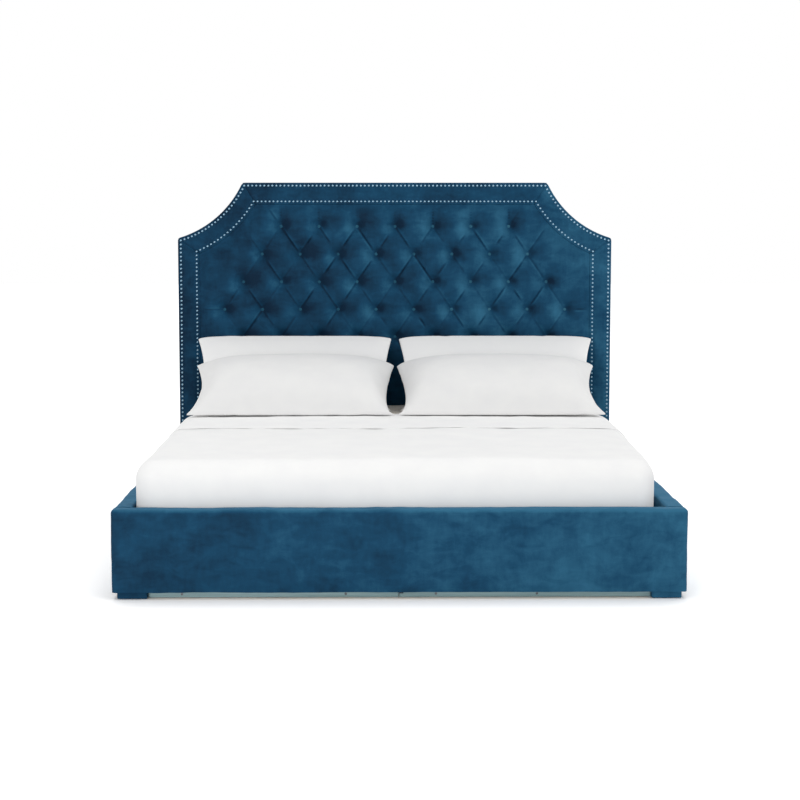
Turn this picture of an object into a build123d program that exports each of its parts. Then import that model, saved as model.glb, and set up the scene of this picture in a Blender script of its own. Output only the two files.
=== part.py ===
from build123d import *

import math
import os

# Upholstered bed: a buttoned, nail-trimmed headboard, a padded frame on low block feet, a slatted
# base, a mattress, a duvet with a turned-down sheet, and two stacks of pillows.
# Millimetres, +Z up, +Y towards the head, +X to the right for someone standing at the foot.
# The origin is on the floor, under the middle of the bed's box.

# Mattress, and the room that the frame leaves round it
mattress_width = 1800.0
mattress_length = 2000.0
mattress_height = 250.0
mattress_crown = 4.0
mattress_side_draw = 5.0
mattress_shoulder = 60.0
mattress_end_radius = 45.0
mattress_side_room = 15.0
mattress_foot_room = 18.0
mattress_head_room = 6.0
mattress_sink = 105.0

# Padded rails and footboard
rail_thickness = 65.0
rail_height = 285.0
rail_pad_outer = 12.0
rail_pad_top = 14.0
rail_lining = 4.0
rail_top_radius = 16.0
rail_inner_radius = 9.0

# Feet under the four corners
foot_height = 25.0
foot_width = 102.0
foot_depth = 90.0
foot_side_inset = 17.0
foot_front_inset = 10.0
foot_edge = 3.0
foot_pad_radius = 20.0
foot_pad_thickness = 3.0
foot_screw_share = 0.75
foot_screw_back = 14.0
rear_screw_shares = (0.2, 0.8)

# Headboard outline: a flat top, and a scooped corner at each side
headboard_height = 1457.0
scoop_width = 293.0
scoop_drop = 249.0
scoop_sagitta = 42.0
outline_corner = 9.0

# Headboard layers, from the front to the back
border_width = 98.0
border_thickness = 40.0
border_edge = 7.0
border_skirt = 6.0
tuft_proud = 10.0
panel_thickness = 12.0
post_thickness = 40.0
post_width = 140.0
ring_width = 70.0
back_cloth_thickness = 2.0
middle_rail_height = 80.0
middle_rail_level = 700.0
bottom_rail_height = 150.0

# Buttoned panel
tuft_bottom = 430.0
tuft_edge_radius = 26.0
button_pitch = 171.5
button_row_pitch = 125.0
button_first_drop = 196.0
button_edge_clearance = 92.0
button_radius = 10.0
button_rim = 3.0
button_height = 8.0
pit_depth = 31.0
pit_mouth_radius = 34.0
pleat_half_width = 50.0
pleat_depth = 20.0
pleat_bulge = 5.0
pleat_bank_share = 0.4
pleat_proud = 2.0
pleat_reach = 205.8

# Nail trim
nail_radius = 4.4
nail_rim = 0.6
nail_height = 2.8
nail_pitch = 18.0
nail_outer_inset = 14.0
nail_inner_inset = 84.0

# Slatted base
slat_count = 13
slat_width = 70.0
slat_thickness = 20.0
slat_end_room = 12.0
slat_margin = 62.0
strap_width = 25.0
strap_thickness = 1.5
strap_offset = 450.0
ledger_width = 40.0
ledger_height = 40.0
ledger_end_room = 6.0
ledger_screw_count = 5
beam_width = 45.0
beam_height = 80.0
hanger_gauge = 3.0
hanger_length = 60.0
hanger_tab = 32.0
hanger_top_room = 20.0
hanger_head_bite = 20.0
leg_count = 3
leg_size = 50.0
glide_radius = 22.0
glide_height = 6.0
dowel_radius = 6.0
dowel_length = 44.0

# Corner brackets and fasteners
bracket_gauge = 4.0
bracket_leg = 80.0
bracket_height = 100.0
bracket_bottom = 40.0
bracket_bolt_share = 0.6
bracket_bolt_rise = 26.0
bolt_radius = 4.0
bolt_head_radius = 7.0
bolt_head_height = 5.0
bolt_grip = 40.0
head_bolt_grip = 88.0
screw_radius = 2.2
screw_head_radius = 4.5
screw_head_height = 2.5
screw_bite = 28.0

# Plinth strip between the two front feet
plinth_setback = 38.0
plinth_gauge = 2.0
plinth_floor_gap = 1.5
plinth_foot_gap = 1.0
plinth_joint = -3.0
plinth_joint_gap = 3.0
plinth_screw_places = (-745.0, -185.0, 124.0, 470.0)
plinth_block_length = 44.0
plinth_block_depth = 22.0
plinth_clip_width = 14.0
plinth_clip_height = 11.0

# Bedding
duvet_thickness = 12.0
duvet_tuck = 190.0
duvet_head_reach = 600.0
cuff_thickness = 6.0
cuff_length = 480.0
cuff_drop = 140.0
pillow_width = 872.0
pillow_side_draw = 16.0
pillow_edge_thickness = 8.0
pillow_gap = 0.5
pillow_taper = 2.6
pillow_tip_fullness = 0.02
pillow_droop_power = 3
pillow_back_centre = 452.0
pillow_back_foot = 425.0
pillow_back_run = 390.0
pillow_back_rise = 298.0
pillow_back_front = 14.0
pillow_back_belly = 116.0
pillow_back_droop = 12.0
pillow_front_centre = 441.0
pillow_front_foot = 680.0
pillow_front_chord = 510.0
pillow_front_dip = 3.0
pillow_front_front = 112.0
pillow_front_belly = 54.0
pillow_front_droop = 28.0

# Running room between pieces
fit = 0.3
hole_room = 0.3

# Places along the bed, from the footboard's front face to the headboard's back
headboard_thickness = border_thickness + panel_thickness + post_thickness + back_cloth_thickness
total_length = (
    rail_thickness
    + mattress_foot_room
    + mattress_length
    + mattress_head_room
    + tuft_proud
    + headboard_thickness
)
y_front = -total_length / 2
y_footboard = y_front + rail_thickness
y_mattress_foot = y_footboard + mattress_foot_room
y_mattress_head = y_mattress_foot + mattress_length
y_tuft = y_mattress_head + mattress_head_room
y_border = y_tuft + tuft_proud
y_panel = y_border + border_thickness
y_posts = y_panel + panel_thickness
y_cloth = y_posts + post_thickness
y_back = y_cloth + back_cloth_thickness

# Places across and up
half_width = mattress_width / 2 + mattress_side_room + rail_thickness
rail_inside = half_width - rail_thickness
z_base = foot_height
z_rail_top = z_base + rail_height
z_slat_top = z_rail_top - mattress_sink
z_ledger_top = z_slat_top - slat_thickness
z_mattress_top = z_slat_top + mattress_height
z_shoulder = headboard_height - scoop_drop

SIDES = {"left": -1, "right": 1}


def block(low, high):
    """Box between two corners, given in any order."""
    size = [abs(b - a) for a, b in zip(low, high)]
    corner = [min(a, b) for a, b in zip(low, high)]
    return Pos(*corner) * Box(*size, align=(Align.MIN, Align.MIN, Align.MIN))


def slab(face, y_from, y_to):
    """Solid of an XZ outline, between two places along the bed."""
    return extrude(Plane.XZ.offset(-y_to) * face, amount=y_to - y_from)


def rod(start, direction, length, radius):
    """Round bar from a point, along a direction."""
    return Solid.make_cylinder(radius, length, Plane(origin=start, z_dir=direction))


def dome(radius, rim, height):
    """Flat-backed round cap: a short rim under part of a ball, its back on the XY plane."""
    rise = height - rim
    ball = (radius**2 + rise**2) / (2 * rise)
    spring = math.asin((ball - rise) / ball)
    turn = (spring + math.pi / 2) / 2
    between = (ball * math.cos(turn), height - ball + ball * math.sin(turn))
    profile = make_face(
        [
            Line((0, 0), (radius, 0)),
            Line((radius, 0), (radius, rim)),
            ThreePointArc((radius, rim), between, (0, height)),
            Line((0, height), (0, 0)),
        ]
    )
    return revolve(Plane.XZ * profile, Axis.Z)


class Fastener:
    """A headed bolt or screw: its seat is on a surface, and it points into the material."""

    def __init__(self, seat, direction, grip, radius, head_radius, head_height):
        away = [-d for d in direction]
        self.solid = rod(seat, direction, grip, radius) + rod(seat, away, head_height, head_radius)
        back = [s - d for s, d in zip(seat, direction)]
        self.hole = rod(back, direction, grip + 2, radius + hole_room)


def bolt(seat, direction, grip):
    return Fastener(seat, direction, grip, bolt_radius, bolt_head_radius, bolt_head_height)


def screw(seat, direction, grip):
    return Fastener(seat, direction, grip, screw_radius, screw_head_radius, screw_head_height)


def drilled(piece, fasteners):
    """The piece with a clearance hole for each fastener that reaches it."""
    box = piece.bounding_box()
    holes = [f.hole for f in fasteners if box.overlaps(f.hole.bounding_box())]
    return piece - holes if holes else piece


def group(solids):
    """Separate solids kept together in one node."""
    return Compound(children=[s.solid() if hasattr(s, "solid") else s for s in solids])


# Headboard outline


def scoop_circle():
    """Centre and radius of the right-hand scoop, which lies outside the board."""
    start = Vector(half_width - scoop_width, headboard_height)
    end = Vector(half_width, z_shoulder)
    chord = end - start
    radius = (chord.length**2 / 4 + scoop_sagitta**2) / (2 * scoop_sagitta)
    outward = Vector(-chord.Y, chord.X) / chord.length
    centre = (start + end) / 2 + outward * (radius - scoop_sagitta)
    return centre, radius


def outline_corners(inset):
    """Right-hand corners of the outline at an inset: the top's end, a point on the scoop, the shoulder."""
    centre, radius = scoop_circle()
    radius += inset
    top = headboard_height - inset
    side = half_width - inset
    crest = Vector(centre.X - math.sqrt(radius**2 - (top - centre.Y) ** 2), top)
    shoulder = Vector(side, centre.Y - math.sqrt(radius**2 - (side - centre.X) ** 2))
    middle = ((crest + shoulder) / 2 - centre).normalized() * radius + centre
    return crest, middle, shoulder


def mirrored(point):
    return Vector(-point.X, point.Y)


def outline(inset, bottom, corner=0.0):
    """Headboard outline as an XZ face, shrunk by an inset and cut off level at the bottom."""
    crest, middle, shoulder = outline_corners(inset)
    foot = Vector(shoulder.X, bottom)
    face = make_face(
        [
            Line(mirrored(foot), foot),
            Line(foot, shoulder),
            ThreePointArc(shoulder, middle, crest),
            Line(crest, mirrored(crest)),
            ThreePointArc(mirrored(crest), mirrored(middle), mirrored(shoulder)),
            Line(mirrored(shoulder), mirrored(foot)),
        ]
    )
    if corner:
        tips = [v for v in face.vertices() if v.Y > bottom + 1]
        face = fillet(tips, corner)
    return face


def sectors():
    """XZ faces that part the border at its mitres: top, scoops and sides."""
    far = 4 * border_width
    crest_out, _, shoulder_out = outline_corners(0)
    crest_in, _, shoulder_in = outline_corners(border_width)

    def mitre(outer, inner):
        along = (inner - outer).normalized()
        return outer - along * far, inner + along * border_width

    crest_far, crest_near = mitre(crest_out, crest_in)
    shoulder_far, shoulder_near = mitre(shoulder_out, shoulder_in)
    below = -far

    def face(points):
        return make_face(Polyline(*[(p.X, p.Y) for p in points], close=True))

    top = [crest_far, crest_near, mirrored(crest_near), mirrored(crest_far)]
    found = {"top": face(top)}
    scoop = [crest_far, crest_near, shoulder_near, shoulder_far]
    side = [
        shoulder_far,
        shoulder_near,
        Vector(shoulder_near.X, below),
        Vector(shoulder_far.X, below),
    ]
    for name, sign in SIDES.items():
        flip = mirrored if sign < 0 else (lambda p: p)
        found[f"scoop_{name}"] = face([flip(p) for p in scoop])
        found[f"side_{name}"] = face([flip(p) for p in side])
    return found


# Headboard pieces


def border_pieces():
    """Padded border in five mitred strips, each with a skirt that wraps the headboard's edge."""
    outer = outline(0, z_base, outline_corner)
    below = z_base - border_width
    flange = slab(outer - outline(border_width, below), y_border, y_panel)
    front = flange.faces().sort_by(Axis.Y)[0]
    flange = fillet([e for e in front.edges() if e.center().Z > z_base + 1], border_edge)
    skirt = slab(outer - outline(border_skirt, below), y_panel, y_back)
    ring = flange + skirt
    return {
        f"border_{name}": ring & slab(sector, y_border - 1, y_back + 1)
        for name, sector in sectors().items()
    }


def frame_pieces(fasteners):
    """Timber frame behind the headboard's panel."""
    inset = border_skirt + fit
    below = z_base - post_width
    board = outline(inset, z_base)
    ring = slab(board - outline(inset + ring_width, below), y_posts, y_cloth)
    names = {
        "top": "headboard_top_rail",
        "scoop_left": "headboard_scoop_block_left",
        "scoop_right": "headboard_scoop_block_right",
    }
    parts = sectors()
    pieces = {
        node: ring & slab(parts[sector], y_posts - 1, y_cloth + 1) for sector, node in names.items()
    }
    post_outside = half_width - inset
    post_inside = post_outside - post_width
    whole = slab(board, y_posts, y_cloth)
    for name, sign in SIDES.items():
        strip = block(
            (sign * post_inside, y_posts, z_base), (sign * post_outside, y_cloth, headboard_height)
        )
        post = whole & strip & slab(parts[f"side_{name}"], y_posts - 1, y_cloth + 1)
        pieces[f"headboard_post_{name}"] = drilled(post, fasteners)
    for node, low, height in (
        ("headboard_middle_rail", middle_rail_level, middle_rail_height),
        ("headboard_bottom_rail", z_base, bottom_rail_height),
    ):
        rail = block((-post_inside, y_posts, low), (post_inside, y_cloth, low + height))
        pieces[node] = drilled(rail, fasteners)
    pieces["headboard_panel"] = drilled(slab(board, y_panel, y_posts), fasteners)
    pieces["headboard_back_cloth"] = slab(board, y_cloth, y_back)
    cover_side = half_width - border_width - fit
    cover = block((-cover_side, y_border, z_base), (cover_side, y_panel, tuft_bottom - fit))
    pieces["headboard_lower_cover"] = drilled(cover, fasteners)
    return pieces


def button_rows():
    """Button places (x, z), row by row from the top, on a diamond grid clear of the border."""
    centre, radius = scoop_circle()
    inset = border_width + button_edge_clearance
    side = half_width - inset
    rows = []
    z = headboard_height - button_first_drop
    while z > tuft_bottom + button_edge_clearance:
        offset = 0.0 if len(rows) % 2 == 0 else button_pitch / 2
        reach = int(half_width / button_pitch) + 1
        places = [k * button_pitch + offset for k in range(-reach, reach)]
        rows.append(
            [
                (x, z)
                for x in places
                if abs(x) < side and math.hypot(abs(x) - centre.X, z - centre.Y) > radius + inset
            ]
        )
        z -= button_row_pitch
    return rows


def pleat_lines():
    """Pleats as pairs of (x, z) points: along the diagonals of buttons, and out to the panel's edge."""
    rows = button_rows()
    step = button_pitch / 2
    pleats = []
    for lean in (1, -1):
        diagonals = {}
        for r, row in enumerate(rows):
            for x, z in row:
                diagonals.setdefault(round(x / step) - lean * r, []).append((x, z))
        pleats += [(line[0], line[-1]) for line in diagonals.values() if len(line) > 1]
    pleats += [((x, z), (x, z + pleat_reach)) for x, z in rows[0]]
    pleats += [((x, z), (x, z - pleat_reach)) for x, z in rows[-1]]
    widest = max(abs(x) for row in rows for x, _ in row)
    for row in rows:
        for x, z in (row[0], row[-1]):
            outward = math.copysign(1, x)
            if abs(x) > widest - 1:
                pleats.append(((x, z), (x + outward * pleat_reach, z)))
            elif z > z_shoulder - border_width:
                pleats.append(((x, z), (x + outward * step, z + button_row_pitch)))
    return pleats


def pleat_groove(start, end):
    """Cutter for one pleat: a groove with two rounded banks, open at the panel's front."""
    along = Vector(end[0] - start[0], 0, end[1] - start[1])
    across = along.normalized().cross(Vector(0, -1, 0))
    plane = Plane(
        origin=(start[0], y_tuft, start[1]), x_dir=across, z_dir=along.normalized()
    )
    inward = 1 if plane.y_dir.Y > 0 else -1

    def bank(sign):
        mid_x = sign * (pleat_half_width / 2 - pleat_bulge * pleat_bank_share)
        mid_y = inward * ((pleat_depth - pleat_proud) / 2 - pleat_bulge)
        return ThreePointArc(
            (0, inward * pleat_depth), (mid_x, mid_y), (sign * pleat_half_width, -inward * pleat_proud)
        )

    lid_y = -inward * pleat_proud
    lid = Line((-pleat_half_width, lid_y), (pleat_half_width, lid_y))
    return extrude(plane * make_face([bank(1), lid, bank(-1)]), amount=along.length)


def tufted_pieces():
    """Buttoned panel with its pleats and button pits, and the covered buttons that sit in them."""
    inset = border_width + fit
    panel = slab(outline(inset, tuft_bottom), y_tuft, y_panel)
    front = panel.faces().sort_by(Axis.Y)[0]
    panel = fillet(front.edges(), tuft_edge_radius)
    panel = panel - [pleat_groove(a, b) for a, b in pleat_lines()]
    pits, buttons = [], []
    for row in button_rows():
        for x, z in row:
            floor = Plane(origin=(x, y_tuft + pit_depth, z), z_dir=(0, -1, 0))
            mouth = pit_depth + 1
            pits.append(Solid.make_cone(button_radius + 1, pit_mouth_radius, mouth, floor))
            buttons.append(floor * dome(button_radius, button_rim, button_height))
    return {"tufted_panel": panel - pits, "tuft_buttons": group(buttons)}


def nail_places(inset):
    """Nail centres (x, z) along the outline at an inset, from above one rail round to the other."""
    crest, middle, shoulder = outline_corners(inset)
    foot = Vector(shoulder.X, z_rail_top + nail_pitch)
    stretches = [
        Line(mirrored(foot), mirrored(shoulder)),
        ThreePointArc(mirrored(shoulder), mirrored(middle), mirrored(crest)),
        Line(mirrored(crest), crest),
        ThreePointArc(crest, middle, shoulder),
        Line(shoulder, foot),
    ]
    places = [stretches[0] @ 0]
    for stretch in stretches:
        count = max(1, round(stretch.length / nail_pitch))
        places += [stretch @ (i / count) for i in range(1, count + 1)]
    return [(p.X, p.Y) for p in places]


def nail_row(inset):
    """Row of domed nail heads on the border's front face."""
    head = dome(nail_radius, nail_rim, nail_height).solid()
    seats = [Plane(origin=(x, y_border, z), z_dir=(0, -1, 0)) for x, z in nail_places(inset)]
    return group([seat * head for seat in seats])


# Padded frame


def rail_pieces(fasteners):
    """Side rails: a timber core in a padded cover that is open underneath."""
    core_outside = half_width - rail_pad_outer
    core_inside = rail_inside + rail_lining
    core_top = z_rail_top - rail_pad_top
    pieces = {}
    for name, sign in SIDES.items():
        core = block(
            (sign * core_inside, y_footboard, z_base), (sign * core_outside, y_border, core_top)
        )
        section = make_face(
            Polyline(
                (sign * rail_inside, z_base),
                (sign * half_width, z_base),
                (sign * half_width, z_rail_top),
                (sign * rail_inside, z_rail_top),
                close=True,
            )
        )
        for x, radius in ((half_width, rail_top_radius), (rail_inside, rail_inner_radius)):
            tip = [v for v in section.vertices() if v.Y > z_rail_top - 1 and abs(abs(v.X) - x) < 1]
            section = fillet(tip, radius)
        cover = slab(section, y_footboard, y_border) - core
        pieces[f"side_rail_core_{name}"] = drilled(core, fasteners)
        pieces[f"side_rail_cover_{name}"] = drilled(cover, fasteners)
    return pieces


def footboard_pieces(fasteners):
    """Footboard over the full width: a timber core in a padded cover."""
    core_side = half_width - rail_pad_outer
    core = block(
        (-core_side, y_front + rail_pad_outer, z_base),
        (core_side, y_footboard - rail_lining, z_rail_top - rail_pad_top),
    )
    cover = block((-half_width, y_front, z_base), (half_width, y_footboard, z_rail_top))
    front = cover.faces().sort_by(Axis.Y)[0]
    cover = fillet([e for e in front.edges() if e.center().Z > z_base + 1], rail_top_radius)
    cover = cover - core
    return {
        "footboard_core": drilled(core, fasteners),
        "footboard_cover": drilled(cover, fasteners),
    }


def foot_places():
    """Name of each foot, its outer corner and the way it reaches inwards, and its depth."""
    headboard_front = y_border + foot_front_inset
    rear_depth = y_back - foot_front_inset - headboard_front
    places = []
    for name, sign in SIDES.items():
        x = sign * (half_width - foot_side_inset)
        places.append((f"foot_front_{name}", x, sign, y_front + foot_front_inset, foot_depth))
        places.append((f"foot_rear_{name}", x, sign, headboard_front, rear_depth))
    return places


def foot_screws():
    """Two screws up through each foot: into the frame's cores at the front, the posts at the back."""
    found = []
    core_line = y_front + (rail_pad_outer + rail_thickness - rail_lining) / 2
    rail_line = half_width - (rail_pad_outer + rail_thickness - rail_lining) / 2
    post_line = (y_posts + y_cloth) / 2
    grip = foot_height - foot_pad_thickness + screw_bite
    for node, x, sign, y, depth in foot_places():
        if "front" in node:
            seats = [
                (x - sign * foot_width * foot_screw_share, core_line),
                (sign * rail_line, y + depth - foot_screw_back),
            ]
        else:
            seats = [(x - sign * foot_width * share, post_line) for share in rear_screw_shares]
        for sx, sy in seats:
            found.append(screw((sx, sy, foot_pad_thickness), (0, 0, 1), grip))
    return found


def foot_pieces(screws):
    """Covered block feet, each on a felt pad."""
    pieces, pads = {}, []
    for node, x, sign, y, depth in foot_places():
        low = (x, y, foot_pad_thickness)
        foot = block(low, (x - sign * foot_width, y + depth, foot_height))
        foot = fillet(foot.edges().filter_by(Axis.Z), foot_edge)
        pieces[node] = drilled(foot, screws)
        pads.append((x - sign * foot_width / 2, y + depth / 2))
    pieces["foot_pads"] = group(
        [rod((x, y, 0), (0, 0, 1), foot_pad_thickness, foot_pad_radius) for x, y in pads]
    )
    return pieces


# Slatted base


def slat_pieces():
    """Flat slats across both ledgers and the beam, joined underneath by two webbing straps."""
    first = y_mattress_foot + slat_margin
    last = y_mattress_head - slat_margin
    half = rail_inside - slat_end_room
    pitch = (last - first) / (slat_count - 1)
    slats = []
    for i in range(slat_count):
        y = first + i * pitch
        slats.append(
            block((-half, y - slat_width / 2, z_ledger_top), (half, y + slat_width / 2, z_slat_top))
        )
    straps = [
        block(
            (x - strap_width / 2, first - slat_width / 2, z_ledger_top - strap_thickness),
            (x + strap_width / 2, last + slat_width / 2, z_ledger_top),
        )
        for x in (-strap_offset, strap_offset)
    ]
    return {"slats": group(slats), "slat_straps": group(straps)}


def ledger_screws():
    found = []
    start = y_footboard + ledger_end_room
    run = y_border - ledger_end_room - start
    z = z_ledger_top - ledger_height / 2
    for sign in SIDES.values():
        for i in range(ledger_screw_count):
            y = start + run * (i + 0.5) / ledger_screw_count
            seat = (sign * (rail_inside - ledger_width), y, z)
            found.append(screw(seat, (sign, 0, 0), ledger_width + screw_bite))
    return found


def ledger_pieces(screws):
    """Battens on the inside of the rails, which carry the slats' ends."""
    pieces = {}
    for name, sign in SIDES.items():
        ledger = block(
            (sign * (rail_inside - ledger_width), y_footboard + ledger_end_room,
             z_ledger_top - ledger_height),
            (sign * rail_inside, y_border - ledger_end_room, z_ledger_top),
        )
        pieces[f"ledger_{name}"] = drilled(ledger, screws)
    return pieces


def leg_places():
    run = y_border - y_footboard
    return [y_footboard + run * (i + 0.5) / leg_count for i in range(leg_count)]


def hanger_screws():
    """One screw through each tab of the two beam hangers."""
    found = []
    x = beam_width / 2 + fit + hanger_gauge + hanger_tab / 2
    z = z_ledger_top - beam_height / 2
    foot_grip = hanger_gauge + rail_lining + screw_bite
    head_grip = hanger_gauge + border_thickness + panel_thickness + hanger_head_bite
    for sign in SIDES.values():
        for face, inward, grip in ((y_footboard, 1, foot_grip), (y_border, -1, head_grip)):
            seat = (sign * x, face + inward * hanger_gauge, z)
            found.append(screw(seat, (0, -inward, 0), grip))
    return found


def beam_pieces(screws):
    """Centre beam on three legs, its ends held in steel hangers."""
    bottom = z_ledger_top - beam_height
    half = beam_width / 2
    beam = block((-half, y_footboard, bottom), (half, y_border, z_ledger_top))
    dowels, glides, hangers, pieces = [], [], [], {}
    for i, y in enumerate(leg_places(), start=1):
        dowel = rod((0, y, bottom - dowel_length / 2), (0, 0, 1), dowel_length, dowel_radius)
        hole = rod(
            (0, y, bottom - dowel_length / 2 - 1), (0, 0, 1), dowel_length + 2,
            dowel_radius + hole_room,
        )
        leg = block(
            (-leg_size / 2, y - leg_size / 2, glide_height), (leg_size / 2, y + leg_size / 2, bottom)
        )
        pieces[f"centre_leg_{i}"] = leg - hole
        beam = beam - hole
        dowels.append(dowel)
        glides.append(rod((0, y, 0), (0, 0, 1), glide_height, glide_radius))
    inner = half + fit
    outer = inner + hanger_gauge
    for face, inward in ((y_footboard, 1), (y_border, -1)):
        reach = face + inward * hanger_length
        hanger = block((-outer, face, bottom - fit - hanger_gauge), (outer, reach, bottom - fit))
        for sign in SIDES.values():
            cheek = block(
                (sign * inner, face, bottom - fit - hanger_gauge),
                (sign * outer, reach, z_ledger_top - hanger_top_room),
            )
            tab = block(
                (sign * inner, face, bottom - fit - hanger_gauge),
                (sign * (outer + hanger_tab), face + inward * hanger_gauge,
                 z_ledger_top - hanger_top_room),
            )
            hanger = hanger + cheek + tab
        hangers.append(drilled(hanger, screws))
    pieces["centre_beam"] = beam
    pieces["leg_dowels"] = group(dowels)
    pieces["leg_glides"] = group(glides)
    pieces["beam_hangers"] = group(hangers)
    return pieces


# Corner brackets


def bracket_pieces():
    """Steel angle in each corner of the frame, with two bolts through each of its legs."""
    brackets, bolts = [], []
    top = bracket_bottom + bracket_height
    for sign in SIDES.values():
        inside = sign * rail_inside
        for face, inward, grip in ((y_footboard, 1, bolt_grip), (y_border, -1, head_bolt_grip)):
            along_rail = block(
                (inside, face, bracket_bottom),
                (inside - sign * bracket_gauge, face + inward * bracket_leg, top),
            )
            along_end = block(
                (inside, face, bracket_bottom),
                (inside - sign * bracket_leg, face + inward * bracket_gauge, top),
            )
            mine = []
            for z in (bracket_bottom + bracket_bolt_rise, top - bracket_bolt_rise):
                on_rail = (
                    inside - sign * bracket_gauge, face + inward * bracket_leg * bracket_bolt_share, z
                )
                on_end = (
                    inside - sign * bracket_leg * bracket_bolt_share, face + inward * bracket_gauge, z
                )
                mine.append(bolt(on_rail, (sign, 0, 0), bolt_grip))
                mine.append(bolt(on_end, (0, -inward, 0), grip))
            brackets.append(drilled(along_rail + along_end, mine))
            bolts += mine
    return brackets, bolts


# Plinth


def plinth_pieces():
    """Aluminium strip in two lengths, screwed to blocks under the footboard, with a clip at the joint."""
    face = y_front + plinth_setback
    back = face + plinth_gauge
    end = half_width - foot_side_inset - foot_width - plinth_foot_gap
    gap = plinth_joint_gap / 2
    low = plinth_floor_gap
    middle = (low + foot_height) / 2
    screws = [screw((x, face, middle), (0, 1, 0), plinth_block_depth - 2) for x in plinth_screw_places]
    strips = {
        "plinth_left": block((-end, face, low), (plinth_joint - gap, back, foot_height)),
        "plinth_right": block((plinth_joint + gap, face, low), (end, back, foot_height)),
    }
    pieces = {node: drilled(strip, screws) for node, strip in strips.items()}
    half = plinth_block_length / 2
    blocks = [
        block((x - half, back, low), (x + half, back + plinth_block_depth, foot_height))
        for x in plinth_screw_places
    ]
    pieces["plinth_blocks"] = group([drilled(b, screws) for b in blocks])
    pieces["plinth_screws"] = group([s.solid for s in screws])
    clip_from = plinth_joint + gap
    pieces["plinth_joiner"] = block(
        (clip_from, face - plinth_gauge, foot_height - plinth_clip_height),
        (clip_from + plinth_clip_width, face, foot_height),
    )
    return pieces


# Mattress and bedding


def bedding_section(half, bottom, top, shoulder, crown, draw=0.0):
    """XZ section of a mattress or a cover: round shoulders, a crowned top and drawn-in sides."""
    bend = shoulder * (1 - math.sqrt(0.5))
    edges = [Line((-half, bottom), (half, bottom))]
    for sign in (1, -1):
        low = (sign * half, bottom)
        high = (sign * half, top - shoulder)
        inner = (sign * (half - shoulder), top)
        waist = (sign * (half - draw), (bottom + top - shoulder) / 2)
        edges.append(ThreePointArc(low, waist, high) if draw else Line(low, high))
        edges.append(ThreePointArc(high, (sign * (half - bend), top - bend), inner))
    ends = (-(half - shoulder), top), (half - shoulder, top)
    edges.append(ThreePointArc(ends[0], (0, top + crown), ends[1]))
    return make_face(edges)


def bedding_body(section, foot, head, bottom, end_radius, ends):
    """Bedding section run along the bed, its edges rounded at the foot, or at both ends."""
    body = slab(section, foot, head)
    faces = body.faces().sort_by(Axis.Y)
    chosen = [faces[0], faces[-1]][:ends]
    edges = [e for face in chosen for e in face.edges() if e.center().Z > bottom + 1]
    return fillet(edges, end_radius)


def mattress_piece():
    section = bedding_section(
        mattress_width / 2, z_slat_top, z_mattress_top, mattress_shoulder, mattress_crown,
        mattress_side_draw,
    )
    return bedding_body(section, y_mattress_foot, y_mattress_head, z_slat_top, mattress_end_radius, 2)


def duvet_piece():
    """Duvet over the mattress, tucked down between it and the frame at the sides and the foot."""
    head = y_border - duvet_head_reach
    bottom = z_mattress_top - duvet_tuck
    top = z_mattress_top + duvet_thickness
    foot = y_mattress_foot - duvet_thickness
    shell = mattress_shoulder + duvet_thickness
    outside = bedding_section(
        mattress_width / 2 + duvet_thickness, bottom, top, shell, mattress_crown
    )
    inside = bedding_section(
        mattress_width / 2 + fit, bottom - 1, z_mattress_top + fit, mattress_shoulder, mattress_crown
    )
    end_radius = mattress_end_radius + duvet_thickness
    outer = bedding_body(outside, foot, head, bottom, end_radius, 1)
    inner = bedding_body(
        inside, y_mattress_foot - fit, head + 1, bottom - 1, mattress_end_radius, 1
    )
    return outer - inner


def cuff_piece():
    """Top sheet turned back over the duvet's head end."""
    head = y_border - duvet_head_reach
    half = mattress_width / 2 + duvet_thickness + fit
    top = z_mattress_top + duvet_thickness + fit
    bottom = z_mattress_top - cuff_drop
    shell = mattress_shoulder + duvet_thickness
    outer = bedding_section(
        half + cuff_thickness, bottom, top + cuff_thickness, shell + cuff_thickness, mattress_crown
    )
    inner = bedding_section(half, bottom - 1, top, shell, mattress_crown)
    return slab(outer - inner, head - cuff_length, head)


# Pillows, each worked out in side view: y along the bed, z up


def bowed(start, end, bow):
    """Circle of one face of a pillow: an arc off the chord, outside half the edge's thickness."""
    chord = end - start
    radius = (chord.length**2 / 4 + bow**2) / (2 * bow)
    upward = Vector(-chord.Y, chord.X) / chord.length
    return (start + end) / 2 - upward * (radius - bow - pillow_edge_thickness / 2), radius


def mattress_level(x):
    """Height of the mattress's crowned top at a place across the bed."""
    span = mattress_width / 2 - mattress_shoulder
    radius = (span**2 + mattress_crown**2) / (2 * mattress_crown)
    return z_mattress_top + mattress_crown - radius + math.sqrt(radius**2 - x**2)


def pillow_lines():
    """Side-view edges of the back and front pillows: lower edge, upper edge and the two bows."""
    low = Vector(y_tuft - pillow_back_foot, 0)
    high = low + Vector(pillow_back_run, pillow_back_rise)
    centre, radius = bowed(high, low, pillow_back_belly)
    seat = mattress_level(pillow_back_centre) + pillow_gap
    lift = Vector(0, seat - centre.Y + radius)
    back = (low + lift, high + lift, pillow_back_front, pillow_back_belly)
    face, face_radius = bowed(back[0], back[1], pillow_back_front)
    cuff_top = mattress_level(0) + duvet_thickness + cuff_thickness + fit
    edge_level = cuff_top + pillow_gap + pillow_front_dip + pillow_edge_thickness / 2
    low = Vector(y_tuft - pillow_front_foot, edge_level)
    under, over = 0.0, math.pi / 2
    for _ in range(60):
        tilt = (under + over) / 2
        high = low + Vector(math.cos(tilt), math.sin(tilt)) * pillow_front_chord
        centre, radius = bowed(high, low, pillow_front_belly)
        apart = (centre - face).length - radius - face_radius
        under, over = (tilt, over) if apart < pillow_gap else (under, tilt)
    front = (low, high, pillow_front_front, pillow_front_belly)
    return {"back": back, "front": front}


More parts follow.
